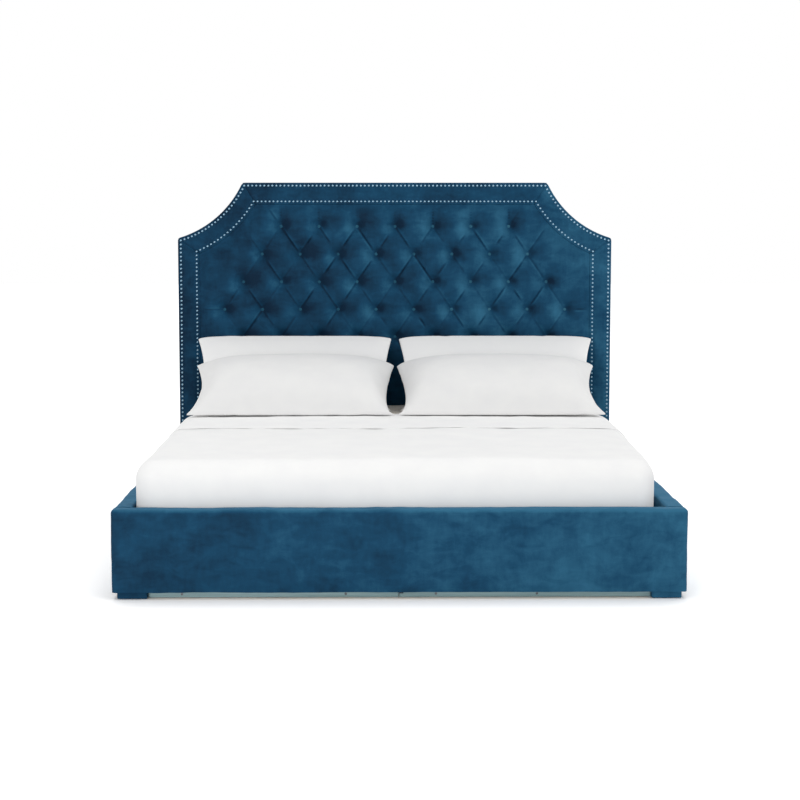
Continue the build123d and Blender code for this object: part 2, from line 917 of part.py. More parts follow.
def pillow_piece(low, high, front_bow, back_bow, droop):
    """Pillow lofted across the bed: full in the middle, thin and drawn in at the ends."""
    half = pillow_width / 2
    half_edge = pillow_edge_thickness / 2
    sections = []
    for share in (-1, -0.8, -0.45, 0, 0.45, 0.8, 1):
        full = max(1 - abs(share) ** pillow_taper, pillow_tip_fullness)
        tip = high - Vector(0, droop * abs(share) ** pillow_droop_power)
        along = (tip - low).normalized()
        up = Vector(-along.Y, along.X)
        middle = (low + tip) / 2
        edge = up * half_edge
        section = make_face(
            [
                ThreePointArc(low + edge, middle + edge + up * front_bow * full, tip + edge),
                Line(tip + edge, tip - edge),
                ThreePointArc(tip - edge, middle - edge - up * back_bow * full, low - edge),
                Line(low - edge, low + edge),
            ]
        )
        sections.append(Plane.YZ.offset(share * half) * section)
    pillow = loft(sections)
    along = high - low
    normal = Vector(0, -along.Y, along.X).normalized()
    middle = (low + high) / 2
    radius = (along.length**2 / 4 + pillow_side_draw**2) / (2 * pillow_side_draw)
    reach = 2 * along.length
    for sign in SIDES.values():
        axis = Vector(sign * (half - pillow_side_draw + radius), middle.X, middle.Y)
        pillow = pillow - rod(axis - normal * reach / 2, normal, reach, radius)
    return pillow


def pillow_pieces():
    """Two stacks of two pillows: one leaning in the corner by the headboard, one lying on it."""
    lines = pillow_lines()
    pieces = {}
    for place, centre, droop in (
        ("back", pillow_back_centre, pillow_back_droop),
        ("front", pillow_front_centre, pillow_front_droop),
    ):
        pillow = pillow_piece(*lines[place], droop)
        for name, sign in SIDES.items():
            pieces[f"pillow_{place}_{name}"] = Pos(sign * centre, 0, 0) * pillow
    return pieces


OUT = "parts"


def main():
    brackets, bolts = bracket_pieces()
    ledger_fixings = ledger_screws()
    hanger_fixings = hanger_screws()
    foot_fixings = foot_screws()
    frame_fixings = bolts + ledger_fixings + hanger_fixings + foot_fixings
    nodes = {}
    nodes.update(border_pieces())
    nodes.update(frame_pieces(bolts + hanger_fixings + foot_fixings))
    nodes.update(tufted_pieces())
    nodes["nailheads_outer"] = nail_row(nail_outer_inset)
    nodes["nailheads_inner"] = nail_row(nail_inner_inset)
    nodes.update(rail_pieces(frame_fixings))
    nodes.update(footboard_pieces(frame_fixings))
    nodes.update(foot_pieces(foot_fixings))
    nodes.update(ledger_pieces(ledger_fixings))
    nodes.update(slat_pieces())
    nodes.update(beam_pieces(hanger_fixings))
    nodes.update(plinth_pieces())
    nodes["corner_brackets"] = group(brackets)
    nodes["corner_bolts"] = group([b.solid for b in bolts])
    nodes["ledger_screws"] = group([s.solid for s in ledger_fixings])
    nodes["hanger_screws"] = group([s.solid for s in hanger_fixings])
    nodes["foot_screws"] = group([s.solid for s in foot_fixings])
    nodes["mattress"] = mattress_piece()
    nodes["duvet"] = duvet_piece()
    nodes["sheet_cuff"] = cuff_piece()
    nodes.update(pillow_pieces())
    os.makedirs(OUT, exist_ok=True)
    for node, shape in nodes.items():
        export_step(shape, os.path.join(OUT, f"{node}.step"))


if __name__ == "__main__":
    main()
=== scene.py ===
# %% [markdown]
# # An upholstered bed with a buttoned headboard
#
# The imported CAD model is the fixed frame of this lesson. It gives every hard
# piece its place, in metres: timber, slats, brackets, nails and feet. Blender
# adds what a CAD solid can't show well, and on this bed that is nearly all
# cloth: velvet over padding, pleats and buttons, a tucked duvet and pillows.

# %% Load the frame
import math
from contextlib import contextmanager

import bmesh
import bpy
import numpy as np
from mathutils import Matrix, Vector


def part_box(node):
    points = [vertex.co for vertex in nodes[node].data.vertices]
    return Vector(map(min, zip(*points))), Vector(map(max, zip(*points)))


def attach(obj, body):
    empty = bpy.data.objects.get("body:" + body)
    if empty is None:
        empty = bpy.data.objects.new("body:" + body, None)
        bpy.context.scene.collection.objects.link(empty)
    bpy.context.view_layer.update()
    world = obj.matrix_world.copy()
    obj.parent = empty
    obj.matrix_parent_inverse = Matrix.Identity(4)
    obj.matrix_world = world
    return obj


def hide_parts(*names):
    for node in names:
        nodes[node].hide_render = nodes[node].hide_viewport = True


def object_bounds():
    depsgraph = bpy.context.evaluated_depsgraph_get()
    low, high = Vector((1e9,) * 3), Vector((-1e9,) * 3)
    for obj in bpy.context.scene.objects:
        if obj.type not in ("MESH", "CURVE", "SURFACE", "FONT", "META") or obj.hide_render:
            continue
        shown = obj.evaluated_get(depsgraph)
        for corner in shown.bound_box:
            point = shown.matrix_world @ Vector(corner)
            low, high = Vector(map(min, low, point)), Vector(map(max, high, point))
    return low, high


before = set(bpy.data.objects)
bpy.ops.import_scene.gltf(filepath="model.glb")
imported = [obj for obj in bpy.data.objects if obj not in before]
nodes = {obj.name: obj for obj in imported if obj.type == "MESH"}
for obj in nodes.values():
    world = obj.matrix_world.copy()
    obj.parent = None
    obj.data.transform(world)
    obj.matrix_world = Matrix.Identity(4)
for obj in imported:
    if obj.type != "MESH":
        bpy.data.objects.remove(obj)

cad_low, cad_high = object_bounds()
hands = {"left": -1, "right": 1}
print("frame:", len(nodes), "CAD nodes, box", tuple(cad_low), tuple(cad_high))

# %% [markdown]
# ## Bench tools
#
# Blender's operators act on whatever is selected, so each step starts by
# letting everything go and taking one piece in hand. What is done to many
# pieces has a tool of its own: applying modifiers, smoothing, dividing faces
# and giving a sheet its thickness.

# %% Bench tools
def let_go():
    """Leaves edit mode and deselects everything."""
    if bpy.context.mode != "OBJECT":
        bpy.ops.object.mode_set(mode="OBJECT")
    bpy.ops.object.select_all(action="DESELECT")


def take(piece):
    """Selects one piece alone and makes it the active one."""
    let_go()
    piece.select_set(True)
    bpy.context.view_layer.objects.active = piece


@contextmanager
def editing(piece):
    """Edit mode on one piece, while the lines under it run."""
    take(piece)
    bpy.ops.object.mode_set(mode="EDIT")
    yield
    bpy.ops.object.mode_set(mode="OBJECT")


def named(name):
    """Gives the piece that was just added its name."""
    piece = bpy.context.object
    piece.name = piece.data.name = name
    return piece


def apply_all(piece):
    """Applies every modifier of a piece, in order."""
    take(piece)
    for modifier in list(piece.modifiers):
        bpy.ops.object.modifier_apply(modifier=modifier.name)


def smooth(piece, degrees):
    """Shades a piece smoothly, apart from edges sharper than the angle."""
    take(piece)
    bpy.ops.object.shade_smooth_by_angle(angle=math.radians(degrees))


def finer(piece, kind):
    """Divides every face of a piece in four."""
    modifier = piece.modifiers.new("finer", "SUBSURF")
    modifier.subdivision_type = kind
    modifier.levels = modifier.render_levels = 1
    apply_all(piece)


def thicken(piece, thickness, offset):
    """Gives a sheet its thickness, behind its face (-1) or in front of it (1)."""
    modifier = piece.modifiers.new("layer", "SOLIDIFY")
    modifier.thickness, modifier.offset = thickness, offset
    apply_all(piece)


print("bench tools ready")

# %% [markdown]
# ## Points of a mesh
#
# Cloth is shaped by moving the points of a grid. These helpers read and write
# all points of a mesh at once, as rows of x, y, z. `swells` gives each point a
# smooth random number, for stuffing that is never quite even.

# %% Points of a mesh
def rows_of(piece, kind):
    flat = np.empty(len(piece.data.vertices) * 3, np.float32)
    piece.data.vertices.foreach_get(kind, flat)
    return flat.reshape(-1, 3).astype(float)


def points_of(piece):
    """The place of each point."""
    return rows_of(piece, "co")


def normals_of(piece):
    """The direction that each point faces."""
    return rows_of(piece, "normal")


def put_points(piece, points):
    """Moves all points."""
    piece.data.vertices.foreach_set("co", np.ascontiguousarray(points, np.float32).ravel())
    piece.data.update()


def swells(points, size, seed, count=9):
    """Smooth swells of about one unit, from sine waves in random directions."""
    draw = np.random.default_rng(seed)
    total = np.zeros(len(points))
    for _ in range(count):
        way = draw.normal(size=3)
        way /= np.linalg.norm(way)
        pitch = size * draw.uniform(0.6, 1.6)
        total += np.sin(points @ way * (2 * math.pi / pitch) + draw.uniform(0, 2 * math.pi))
    return total / math.sqrt(count)


def bell(distance, width):
    """1 at a line or a point, falling to nothing about two widths away."""
    return np.exp(-((distance / width) ** 2))


print("points can be read and moved")

# %% [markdown]
# ## Grids, blocks and seams
#
# A grid primitive is a good start for cloth: its rows and columns become the
# warp and weft. `cloth_grid` adds one and moves each point to where a rule
# puts it. `sew_up` merges points that meet, closes open ends with a face and
# turns all faces outwards. Padded pieces start as a cube, and cuts across it
# give points enough to shape.

# %% Grids, blocks and seams
def cloth_grid(name, across, along, place):
    """A grid whose points are moved by place(u, v), with u and v from 0 to 1."""
    let_go()
    bpy.ops.mesh.primitive_grid_add(x_subdivisions=across, y_subdivisions=along, size=1.0)
    piece = named(name)
    flat = points_of(piece)
    put_points(piece, place(flat[:, 0] + 0.5, flat[:, 1] + 0.5))
    return piece


def sew_up(piece, gap=1e-5, close=True):
    """Merges points that meet, closes holes and turns the faces outwards."""
    with editing(piece):
        bpy.ops.mesh.select_all(action="SELECT")
        bpy.ops.mesh.remove_doubles(threshold=gap)
        if close:
            bpy.ops.mesh.fill_holes(sides=0)
        bpy.ops.mesh.select_all(action="SELECT")
        bpy.ops.mesh.normals_make_consistent(inside=False)


def pick(piece, kind, test):
    """In edit mode, selects only the faces or edges that pass a test."""
    bpy.ops.mesh.select_mode(type={"faces": "FACE", "edges": "EDGE"}[kind])
    mesh = bmesh.from_edit_mesh(piece.data)
    for part in (*mesh.verts, *mesh.edges, *mesh.faces):
        part.select_set(False)
    for part in getattr(mesh, kind):
        if test(part):
            part.select_set(True)
    bmesh.update_edit_mesh(piece.data)


def block(name, low, high):
    """A cube between two corners."""
    let_go()
    bpy.ops.mesh.primitive_cube_add(size=1.0, location=(low + high) / 2, scale=high - low)
    piece = named(name)
    bpy.ops.object.transform_apply(location=True, rotation=True, scale=True)
    return piece


def cut_across(low, high, steps):
    """In edit mode, cuts a block along each axis into slices of about a step."""
    for axis, step in enumerate(steps):
        count = int((high[axis] - low[axis]) / step)
        for cut in range(1, count):
            middle, way = [0.0] * 3, [0.0] * 3
            middle[axis] = low[axis] + (high[axis] - low[axis]) * cut / count
            way[axis] = 1.0
            bpy.ops.mesh.select_all(action="SELECT")
            bpy.ops.mesh.bisect(plane_co=middle, plane_no=way)


print("grids, blocks and seams ready")

# %% [markdown]
# ## Writing materials as sums
#
# A material is a small graph of nodes. `Strand` wraps one socket, so that a
# plain Python sum adds the Math nodes, and `Finish.node` adds any other node
# from its type, its settings and its sockets.

# %% Shader sums
class Strand:
    """One value on its way through a material."""

    def __init__(self, finish, socket):
        self.finish, self.socket = finish, socket

    def _sum(self, operation, first, second):
        return self.finish.node("ShaderNodeMath", {"operation": operation}, {0: first, 1: second})

    def __add__(self, other):
        return self._sum("ADD", self, other)

    def __radd__(self, other):
        return self._sum("ADD", other, self)

    def __sub__(self, other):
        return self._sum("SUBTRACT", self, other)

    def __rsub__(self, other):
        return self._sum("SUBTRACT", other, self)

    def __mul__(self, other):
        return self._sum("MULTIPLY", self, other)

    def __rmul__(self, other):
        return self._sum("MULTIPLY", other, self)


class Finish:
    """The node graph of a material or of the world, and its shader."""

    def __init__(self, owner, shader):
        owner.use_nodes = True
        self.owner, self.tree = owner, owner.node_tree
        self.shader = self.tree.nodes[shader]

    def node(self, kind, settings=None, sockets=None, out=0):
        made = self.tree.nodes.new(kind)
        for key, value in (settings or {}).items():
            if key == "stops":
                self._stops(made.color_ramp, value)
            else:
                setattr(made, key, value)
        for key, value in (sockets or {}).items():
            self._put(made.inputs[key], value)
        return Strand(self, made.outputs[out])

    def feed(self, name, value):
        """Links or sets a socket of the shader."""
        self._put(self.shader.inputs[name], value)

    def _put(self, socket, value):
        if isinstance(value, Strand):
            self.tree.links.new(value.socket, socket)
        else:
            socket.default_value = value

    def _stops(self, ramp, stops):
        while len(ramp.elements) < len(stops):
            ramp.elements.new(1.0)
        for element, (place, colour) in zip(ramp.elements, stops):
            element.position, element.color = place, linear(*colour)


def linear(red, green, blue):
    """A screen colour, 0 to 255, as the linear numbers that shaders use."""

    def one(value):
        share = value / 255
        return share / 12.92 if share <= 0.04045 else ((share + 0.055) / 1.055) ** 2.4

    return (one(red), one(green), one(blue), 1.0)


print("shader sums ready")

# %% [markdown]
# ## What finishes share
#
# Each finish starts as a new material with a few numbers set on its shader. It
# then gets a colour ramp over some pattern, and a bump. Patterns are noise on
# the piece's own coordinates, which a Mapping node can draw out and turn.

# %% Parts of a finish
def new_finish(name, **numbers):
    """A new material, with numbers set on its shader's own sockets."""
    finish = Finish(bpy.data.materials.new(name), "Principled BSDF")
    for key, value in numbers.items():
        finish.feed(key.replace("_", " "), value)
    return finish


def on_piece(finish):
    """The piece's own coordinates."""
    return finish.node("ShaderNodeTexCoord", out="Object")


def stretched(finish, scale, turn=(0.0, 0.0, 0.0)):
    """The piece's own coordinates, scaled and turned."""
    sockets = {"Vector": on_piece(finish), "Scale": scale, "Rotation": turn}
    return finish.node("ShaderNodeMapping", sockets=sockets)


def noise(finish, place, scale=1.0, detail=3.0, rough=0.55, twist=0.0):
    """A noise pattern on a piece, from 0 to 1."""
    sockets = {"Vector": place, "Scale": scale, "Detail": detail}
    sockets |= {"Roughness": rough, "Distortion": twist}
    return finish.node("ShaderNodeTexNoise", sockets=sockets)


def coloured(finish, value, *stops):
    """Colours a finish by a ramp over a value."""
    finish.feed("Base Color", finish.node("ShaderNodeValToRGB", {"stops": stops}, {"Fac": value}))


def bumped(finish, height, strength, distance):
    """Feeds a height pattern to the shader's normal."""
    sockets = {"Height": height, "Strength": strength, "Distance": distance}
    finish.feed("Normal", finish.node("ShaderNodeBump", sockets=sockets))


print("parts of a finish ready")

# %% [markdown]
# ## Velvet
#
# Velvet is short pile that leans. Where it leans towards the viewer it looks
# dark, and where it is stroked the other way it looks pale, so a flat colour
# never looks like velvet. Wide noise gives the stroked patches, stretched ones
# the smears and the upright streaks, a fine one the pile, and sheen brightens
# the edges. Painted light is added on top. The tone grows lighter from left to
# right across the bed, as painted light from the right. A point attribute holds
# painted light and shade at each point: painted shade over the headboard,
# painted highlights on top edges and on faces turned to the right, and painted
# light and shade round the buttons and along the folds.

# %% Velvet
# Painted light: how much lighter the velvet grows along x, and how strongly the point attribute's
# painted light and shade count.
painted_light_across, painted_shading_tone = 0.1, 0.22
# Painted shade over the whole headboard, which stands farther from the lamps than the footboard.
headboard_painted_shade = -0.1


def velvet_finish(name, dark, middle, light):
    """Velvet from its three tones, with painted light and shade added."""
    finish = new_finish(
        name,
        Sheen_Weight=0.1,
        Sheen_Roughness=0.3,
        Sheen_Tint=linear(60, 155, 200),
        Specular_IOR_Level=0.1,
    )
    place = on_piece(finish)
    patches = noise(finish, place, scale=5.5, detail=4.0, rough=0.58, twist=0.6)
    strokes = noise(finish, stretched(finish, (14.0, 26.0, 30.0), (0.0, 0.12, 0.0)), twist=0.7)
    upright = noise(finish, stretched(finish, (60.0, 60.0, 18.0)), rough=0.6, twist=0.2)
    pile = noise(finish, place, scale=620.0, detail=2.0, rough=0.6)
    across = finish.node("ShaderNodeSeparateXYZ", sockets={0: place}, out="X")
    # The point attribute that holds painted light and shade.
    nap = finish.node("ShaderNodeAttribute", {"attribute_name": "nap"}, out="Fac")
    tone = 0.09 + patches * 0.4 + strokes * 0.2 + upright * 0.1 + pile * 0.12
    # Painted light from left to right, plus painted light and shade from the point attribute.
    tone = tone + across * painted_light_across + nap * painted_shading_tone
    coloured(finish, tone, (0.3, dark), (0.5, middle), (0.72, light))
    finish.feed("Roughness", 0.8 - strokes * 0.2)
    height = pile * 0.5 + strokes * 0.3 + upright * 0.2
    bumped(finish, height, strength=0.3, distance=0.0012)
    return finish.owner


def set_painted_shading(piece, values):
    """Stores painted light and shade at each point of a piece."""
    layer = piece.data.attributes.new("nap", "FLOAT", "POINT")
    layer.data.foreach_set("value", np.ascontiguousarray(values, np.float32))


velvet = velvet_finish("teal_velvet", (8, 36, 58), (19, 67, 97), (46, 102, 132))
# A lighter copy of the velvet for the buttons: a painted highlight on each one.
button_velvet_painted_lighter = velvet_finish("button_velvet_painted_lighter", (18, 58, 80), (38, 88, 112), (70, 124, 146))
print("velvet:", velvet.name, button_velvet_painted_lighter.name)

# %% [markdown]
# ## White bedding
#
# Bed linen is a plain weave of fine thread, too fine to show its threads from
# across a room. A very fine noise stands in for the weave, a wider one gives
# soft rumples, and a wide one keeps the white from being perfectly even. The
# three whites are copies of one cotton. The back pillows get a whiter one,
# painted lighter against the headboard's shade on them, and the duvet and the
# sheet the middle one. The front pillows get a greyer one, partly their own
# tone and partly painted shade, as they face the lamps.

# %% Bedding cloth
def woven_finish(name, colour, shade):
    """Cotton between two whites."""
    finish = new_finish(
        name, Roughness=0.85, Sheen_Weight=0.12, Sheen_Roughness=0.5, Specular_IOR_Level=0.2
    )
    place = on_piece(finish)
    wide = noise(finish, place, scale=9.0)
    coloured(finish, wide, (0.3, shade), (0.7, colour))
    weave = noise(finish, place, scale=900.0, detail=1.0, rough=0.5)
    rumple = noise(finish, place, scale=38.0, rough=0.5, twist=0.4)
    bumped(finish, weave * 0.35 + rumple * 0.65, strength=0.12, distance=0.002)
    return finish.owner


# Back pillows painted lighter against the headboard's shade; front pillows greyer, partly painted
# shade.
back_pillow_cotton_painted_lighter = woven_finish("back_pillow_cotton_painted_lighter", (247, 247, 246), (244, 244, 244))
linen = woven_finish("white_cotton", (242, 242, 241), (238, 238, 238))
front_pillow_cotton_partly_painted_greyer = woven_finish("front_pillow_cotton_partly_painted_greyer", (233, 233, 232), (229, 229, 229))
print("bedding:", back_pillow_cotton_painted_lighter.name, linen.name, front_pillow_cotton_partly_painted_greyer.name)

# %% [markdown]
# ## Ticking, webbing, back cloth and felt
#
# Four plain cloths: the mattress's cream knit; woven webbing under the slats;
# the dark spun cloth stapled over the back of the headboard; and felt under
# the feet. Crossed waves give each its small ridges, at a pitch of its own.

# %% Plain cloths
wave_pitch = 0.314


def ridged_finish(name, dark, light, pitch, rough, depth):
    """Cloth with a pattern of small crossed ridges."""
    finish = new_finish(name, Roughness=rough)
    place = on_piece(finish)
    sockets = {"Vector": place, "Scale": wave_pitch / pitch, "Distortion": 0.4, "Detail": 1.0}
    first, second, third = (
        finish.node("ShaderNodeTexWave", {"bands_direction": axis}, sockets, out="Fac")
        for axis in "XYZ"
    )
    cells = first * 0.34 + second * 0.33 + third * 0.33
    speckle = noise(finish, place, scale=60.0)
    coloured(finish, cells * 0.5 + speckle * 0.5, (0.3, dark), (0.7, light))
    bumped(finish, cells, 0.5, depth)
    return finish.owner


# The cream is painted paler than the knit's own, against the shade that falls on it between the
# pillows.
ticking = ridged_finish("cream_ticking", (238, 231, 220), (248, 243, 234), 0.012, 0.9, 0.002)
webbing = ridged_finish("grey_webbing", (52, 52, 54), (92, 92, 95), 0.0022, 0.8, 0.0006)
back_cloth = ridged_finish("back_cloth", (24, 25, 28), (46, 48, 52), 0.004, 0.9, 0.0004)
felt = ridged_finish("grey_felt", (40, 40, 42), (74, 74, 76), 0.0016, 0.95, 0.0005)
print("cloths:", ticking.name, webbing.name, back_cloth.name, felt.name)

# %% [markdown]
# ## Timber
#
# Sawn pine shows long streaks along the grain and darker late-wood lines. The
# pattern is a noise drawn out along one axis, so the same recipe serves pieces
# that run across the bed, along it or upright.

# %% Timber
grain_across, grain_along = 26.0, 1.6


def timber_finish(name, along, pale, dark):
    """Timber with its grain along one axis."""
    finish = new_finish(name, Roughness=0.6)
    place = stretched(finish, [grain_along if axis == along else grain_across for axis in "xyz"])
    streaks = noise(finish, place, detail=5.0, rough=0.6, twist=0.9)
    fibres = noise(finish, place, scale=9.0, detail=2.0, rough=0.5)
    grain = streaks * 0.75 + fibres * 0.25
    coloured(finish, grain, (0.36, dark), (0.52, pale), (0.7, dark))
    finish.feed("Roughness", 0.5 + fibres * 0.25)
    bumped(finish, grain, strength=0.25, distance=0.001)
    return finish.owner


pale_wood, dark_wood = (216, 182, 134), (176, 134, 86)
pine = {axis: timber_finish(f"pine_along_{axis}", axis, pale_wood, dark_wood) for axis in "xyz"}
plywood = timber_finish("plywood_face", "z", (206, 176, 132), (178, 142, 98))
print("timber:", [wood.name for wood in pine.values()], plywood.name)

# %% [markdown]
# ## Metal and plastic
#
# The nail heads are antiqued pewter with fine duller flecks, their grey tinted
# blue-teal: a painted reflection of the velvet round them. The plinth strip is
# satin aluminium, drawn along its length, its grey tinted green-teal as a
# painted reflection. Fittings are black coated steel and zinc, and glides and
# the joint clip are dark plastic.

# %% Metal and plastic
def hard_finish(name, colour, worn, rough, spread, scale, metallic=1.0):
    """Metal or plastic, worn in marks of a given scale along x, y and z."""
    finish = new_finish(name, Metallic=metallic)
    marks = noise(finish, stretched(finish, scale), detail=4.0, rough=0.6)
    coloured(finish, marks, (0.35, worn), (0.65, colour))
    finish.feed("Roughness", rough + marks * spread)
    bumped(finish, marks, strength=0.15, distance=0.0004)
    return finish.owner


drawn = (4.0, 300.0, 300.0)
# The nails' blue-teal tint is a painted reflection of the velvet.
pewter = hard_finish("pewter_nails", (158, 192, 211), (114, 146, 168), 0.18, 0.2, (420.0,) * 3)
# The aluminium's green-teal tint is a painted reflection.
satin = hard_finish("satin_aluminium", (146, 175, 180), (128, 156, 161), 0.3, 0.2, drawn, 0.35)
black_steel = hard_finish("black_steel", (44, 45, 47), (28, 29, 31), 0.38, 0.2, (90.0,) * 3, 0.5)
zinc = hard_finish("zinc_plate", (128, 131, 134), (88, 91, 95), 0.25, 0.25, (150.0,) * 3)
dark_plastic = hard_finish(
    "dark_plastic", (40, 41, 43), (30, 31, 33), 0.42, 0.16, (200.0,) * 3, metallic=0.0
)
print("hard:", pewter.name, satin.name, black_steel.name, zinc.name, dark_plastic.name)

# %% [markdown]
# ## Camera
#
# The two long edges of the bed run together to a vanishing point above and a
# little left of the picture's middle. Its height gives the tilt, and how much
# smaller the headboard looks than the footboard gives the distance.

# %% Camera
lens_length, sensor = 79.7, 36.0
camera_place = (-0.0633, -7.0296, 1.2761)
tilt_down, turn_right = math.radians(5.707), math.radians(0.615)
let_go()
bpy.ops.object.camera_add(
    location=camera_place, rotation=(math.pi / 2 - tilt_down, 0.0, -turn_right)
)
camera = bpy.context.object
camera.data.lens, camera.data.sensor_width = lens_length, sensor
scene = bpy.context.scene
scene.camera = camera
print("camera at", camera_place, "lens", lens_length)

# %% [markdown]
# ## Light
#
# Soft studio light: an even white surround; a wide lamp overhead and a little
# behind, which leaves a narrow shadow at the foot of the bed; one from the
# right, which rakes over the pleats and brings them out; and a low fill from
# the front left. The surround is weaker as light than it looks, so that it can
# be white behind the bed and still leave the lamps something to do.

# %% Light
scene.view_settings.view_transform = "Standard"
surround_light = 0.72
suns = {"overhead": (0.75, 40.0, (-21.0, 0.0)), "side": (0.4, 45.0, (62.0, 68.0))}
fill_place, fill_watts, fill_size = (-2.4, -7.6, 1.1), 105.0, 1.6
fill_turn = (math.radians(86.0), 0.0, math.radians(-18.0))


def shown_ray(finish):
    """1 on rays that show the background: to the camera, in mirrors and through glass."""
    path = finish.tree.nodes.new("ShaderNodeLightPath")
    camera_ray, glossy, through = (
        Strand(finish, path.outputs[f"Is {kind} Ray"])
        for kind in ("Camera", "Glossy", "Transmission")
    )
    shown = {0: camera_ray + glossy + through, 1: 1.0}
    return finish.node("ShaderNodeMath", {"operation": "MINIMUM"}, shown)


def add_lamp(name, kind, strength, **where):
    let_go()
    bpy.ops.object.light_add(type=kind, **where)
    lamp = bpy.context.object
    lamp.name, lamp.data.energy = name, strength
    return lamp.data


scene.world = bpy.data.worlds.new("studio")
air = Finish(scene.world, "Background")
air.feed("Color", (1.0, 1.0, 1.0, 1.0))
air.feed("Strength", surround_light + shown_ray(air) * (1.0 - surround_light))
for lamp, (strength, softness, (tilt, turn)) in suns.items():
    way = (math.radians(tilt), 0.0, math.radians(turn))
    add_lamp(lamp, "SUN", strength, rotation=way).angle = math.radians(softness)
add_lamp("front", "AREA", fill_watts, location=fill_place, rotation=fill_turn).size = fill_size

# %% [markdown]
# ## Floor
#
# The floor is a plain white plane, which takes the bed's shadow. On rays that
# show it, it is whiter than white, so it runs into the surround and only the
# darker part of the shadow is seen.

# %% Floor
floor_size = 60.0
floor_lit, floor_shown = (0.95, 0.95, 0.95, 1.0), (1.3, 1.3, 1.3, 1.0)
let_go()
bpy.ops.mesh.primitive_plane_add(size=floor_size)
floor = named("floor")
floor_white = new_finish("floor_white", Roughness=0.9, Specular_IOR_Level=0.0)
mixed = {0: shown_ray(floor_white), 6: floor_lit, 7: floor_shown}
floor_white.feed(
    "Base Color", floor_white.node("ShaderNodeMix", {"data_type": "RGBA"}, mixed, out=2)
)
floor.data.materials.append(floor_white.owner)
print("floor:", floor_size, "m square")

# %% [markdown]
# ## Dressing a piece
#
# Every finished piece gets its material and rides on a body, and the CAD node
# that it stands for is hidden.

# %% Dressing
def dress(piece, material, body, node):
    """Gives a piece its material and body, and hides the CAD node that it stands for."""
    piece.data.materials.clear()
    piece.data.materials.append(material)
    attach(piece, body)
    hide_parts(node)
    print(piece.name, "has", len(piece.data.polygons), "faces")


# %% [markdown]
# ## The headboard's outline
#
# The headboard is a tall board with a scoop cut from each upper corner. Each
# strip of the border runs along one stretch of that outline, and every line
# drawn inside it keeps the same distance from the edge, so one rule for the
# outline at an inset serves the strips, the buttoned panel and the back cloth.

# %% Outline
half_width, board_height = cad_high.x, cad_high.z
scoop_width, scoop_drop, scoop_sagitta = 0.293, 0.249, 0.042
scoop_chord = math.hypot(scoop_width, scoop_drop)
scoop_radius = (scoop_chord**2 / 4 + scoop_sagitta**2) / (2 * scoop_sagitta)
scoop_offset = (scoop_radius - scoop_sagitta) / scoop_chord
scoop_x = half_width - scoop_width / 2 + scoop_drop * scoop_offset
scoop_z = board_height - scoop_drop / 2 + scoop_width * scoop_offset
side_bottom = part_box("border_side_left")[0].z


def crest(inset):
    """Half the flat top's length at an inset, and its height."""
    top = board_height - inset
    return scoop_x - np.sqrt((scoop_radius + inset) ** 2 - (top - scoop_z) ** 2), top


def shoulder(inset):
    """The side's place at an inset, and the height where the scoop meets it."""
    side = half_width - inset
    return side, scoop_z - np.sqrt((scoop_radius + inset) ** 2 - (side - scoop_x) ** 2)


def along_top(share, inset):
    x, z = crest(inset)
    return (2 * share - 1) * x, z + 0 * share


def along_scoop(share, inset):
    start_x, start_z = crest(inset)
    end_x, end_z = shoulder(inset)
    start = np.arctan2(start_z - scoop_z, start_x - scoop_x)
    end = np.arctan2(end_z - scoop_z, end_x - scoop_x)
    angle = start + (end - start) * share
    radius = scoop_radius + inset
    return scoop_x + radius * np.cos(angle), scoop_z + radius * np.sin(angle)


def along_side(share, inset):
    side, top = shoulder(inset)
    return side + 0 * share, top + (side_bottom - top) * share


print("outline: crest", crest(0.0), "shoulder", shoulder(0.0))

# %% [markdown]
# ## Nails
#
# The nail heads are CAD pieces. The velvet dips round each of them, so their
# places are read from the tops of their domes.

# %% Nail places
y_border, y_back = (corner.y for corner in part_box("border_top"))
y_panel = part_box("headboard_panel")[0].y
dome_top = 2e-4


def nail_places():
    """Middle of each nail head, as x and z, from the top of its dome."""
    found = []
    for node in ("nailheads_outer", "nailheads_inner"):
        points = points_of(nodes[node])
        tops = points[points[:, 1] < points[:, 1].min() + dome_top]
        found.append(np.unique(np.round(tops[:, [0, 2]], 3), axis=0))
    return np.concatenate(found)


def nearest(x, z, places):
    """Distance from each point to the nearest of some places."""
    best = np.full(len(x), np.inf)
    for place_x, place_z in places:
        best = np.minimum(best, np.hypot(x - place_x, z - place_z))
    return best


nails = nail_places()
print("nails found:", len(nails))

# %% [markdown]
# ## Border strips
#
# Five strips of velvet are pulled over foam and wrapped round the board's
# edge, and they meet in mitred seams at the corners. A strip is a section
# swept along its stretch, so a grid rolled into a tube fits: one way runs
# along the outline, the other round the section. Nails pull the cloth down,
# so the front dips round each one, and it dips again along the mitres. Every
# strip has painted shade, the top one more than the sides, and painted light
# on faces turned to the right and up.

# %% Section of a strip
border_width, border_edge, border_skirt = 0.098, 0.008, 0.006
inner_edge = 0.004


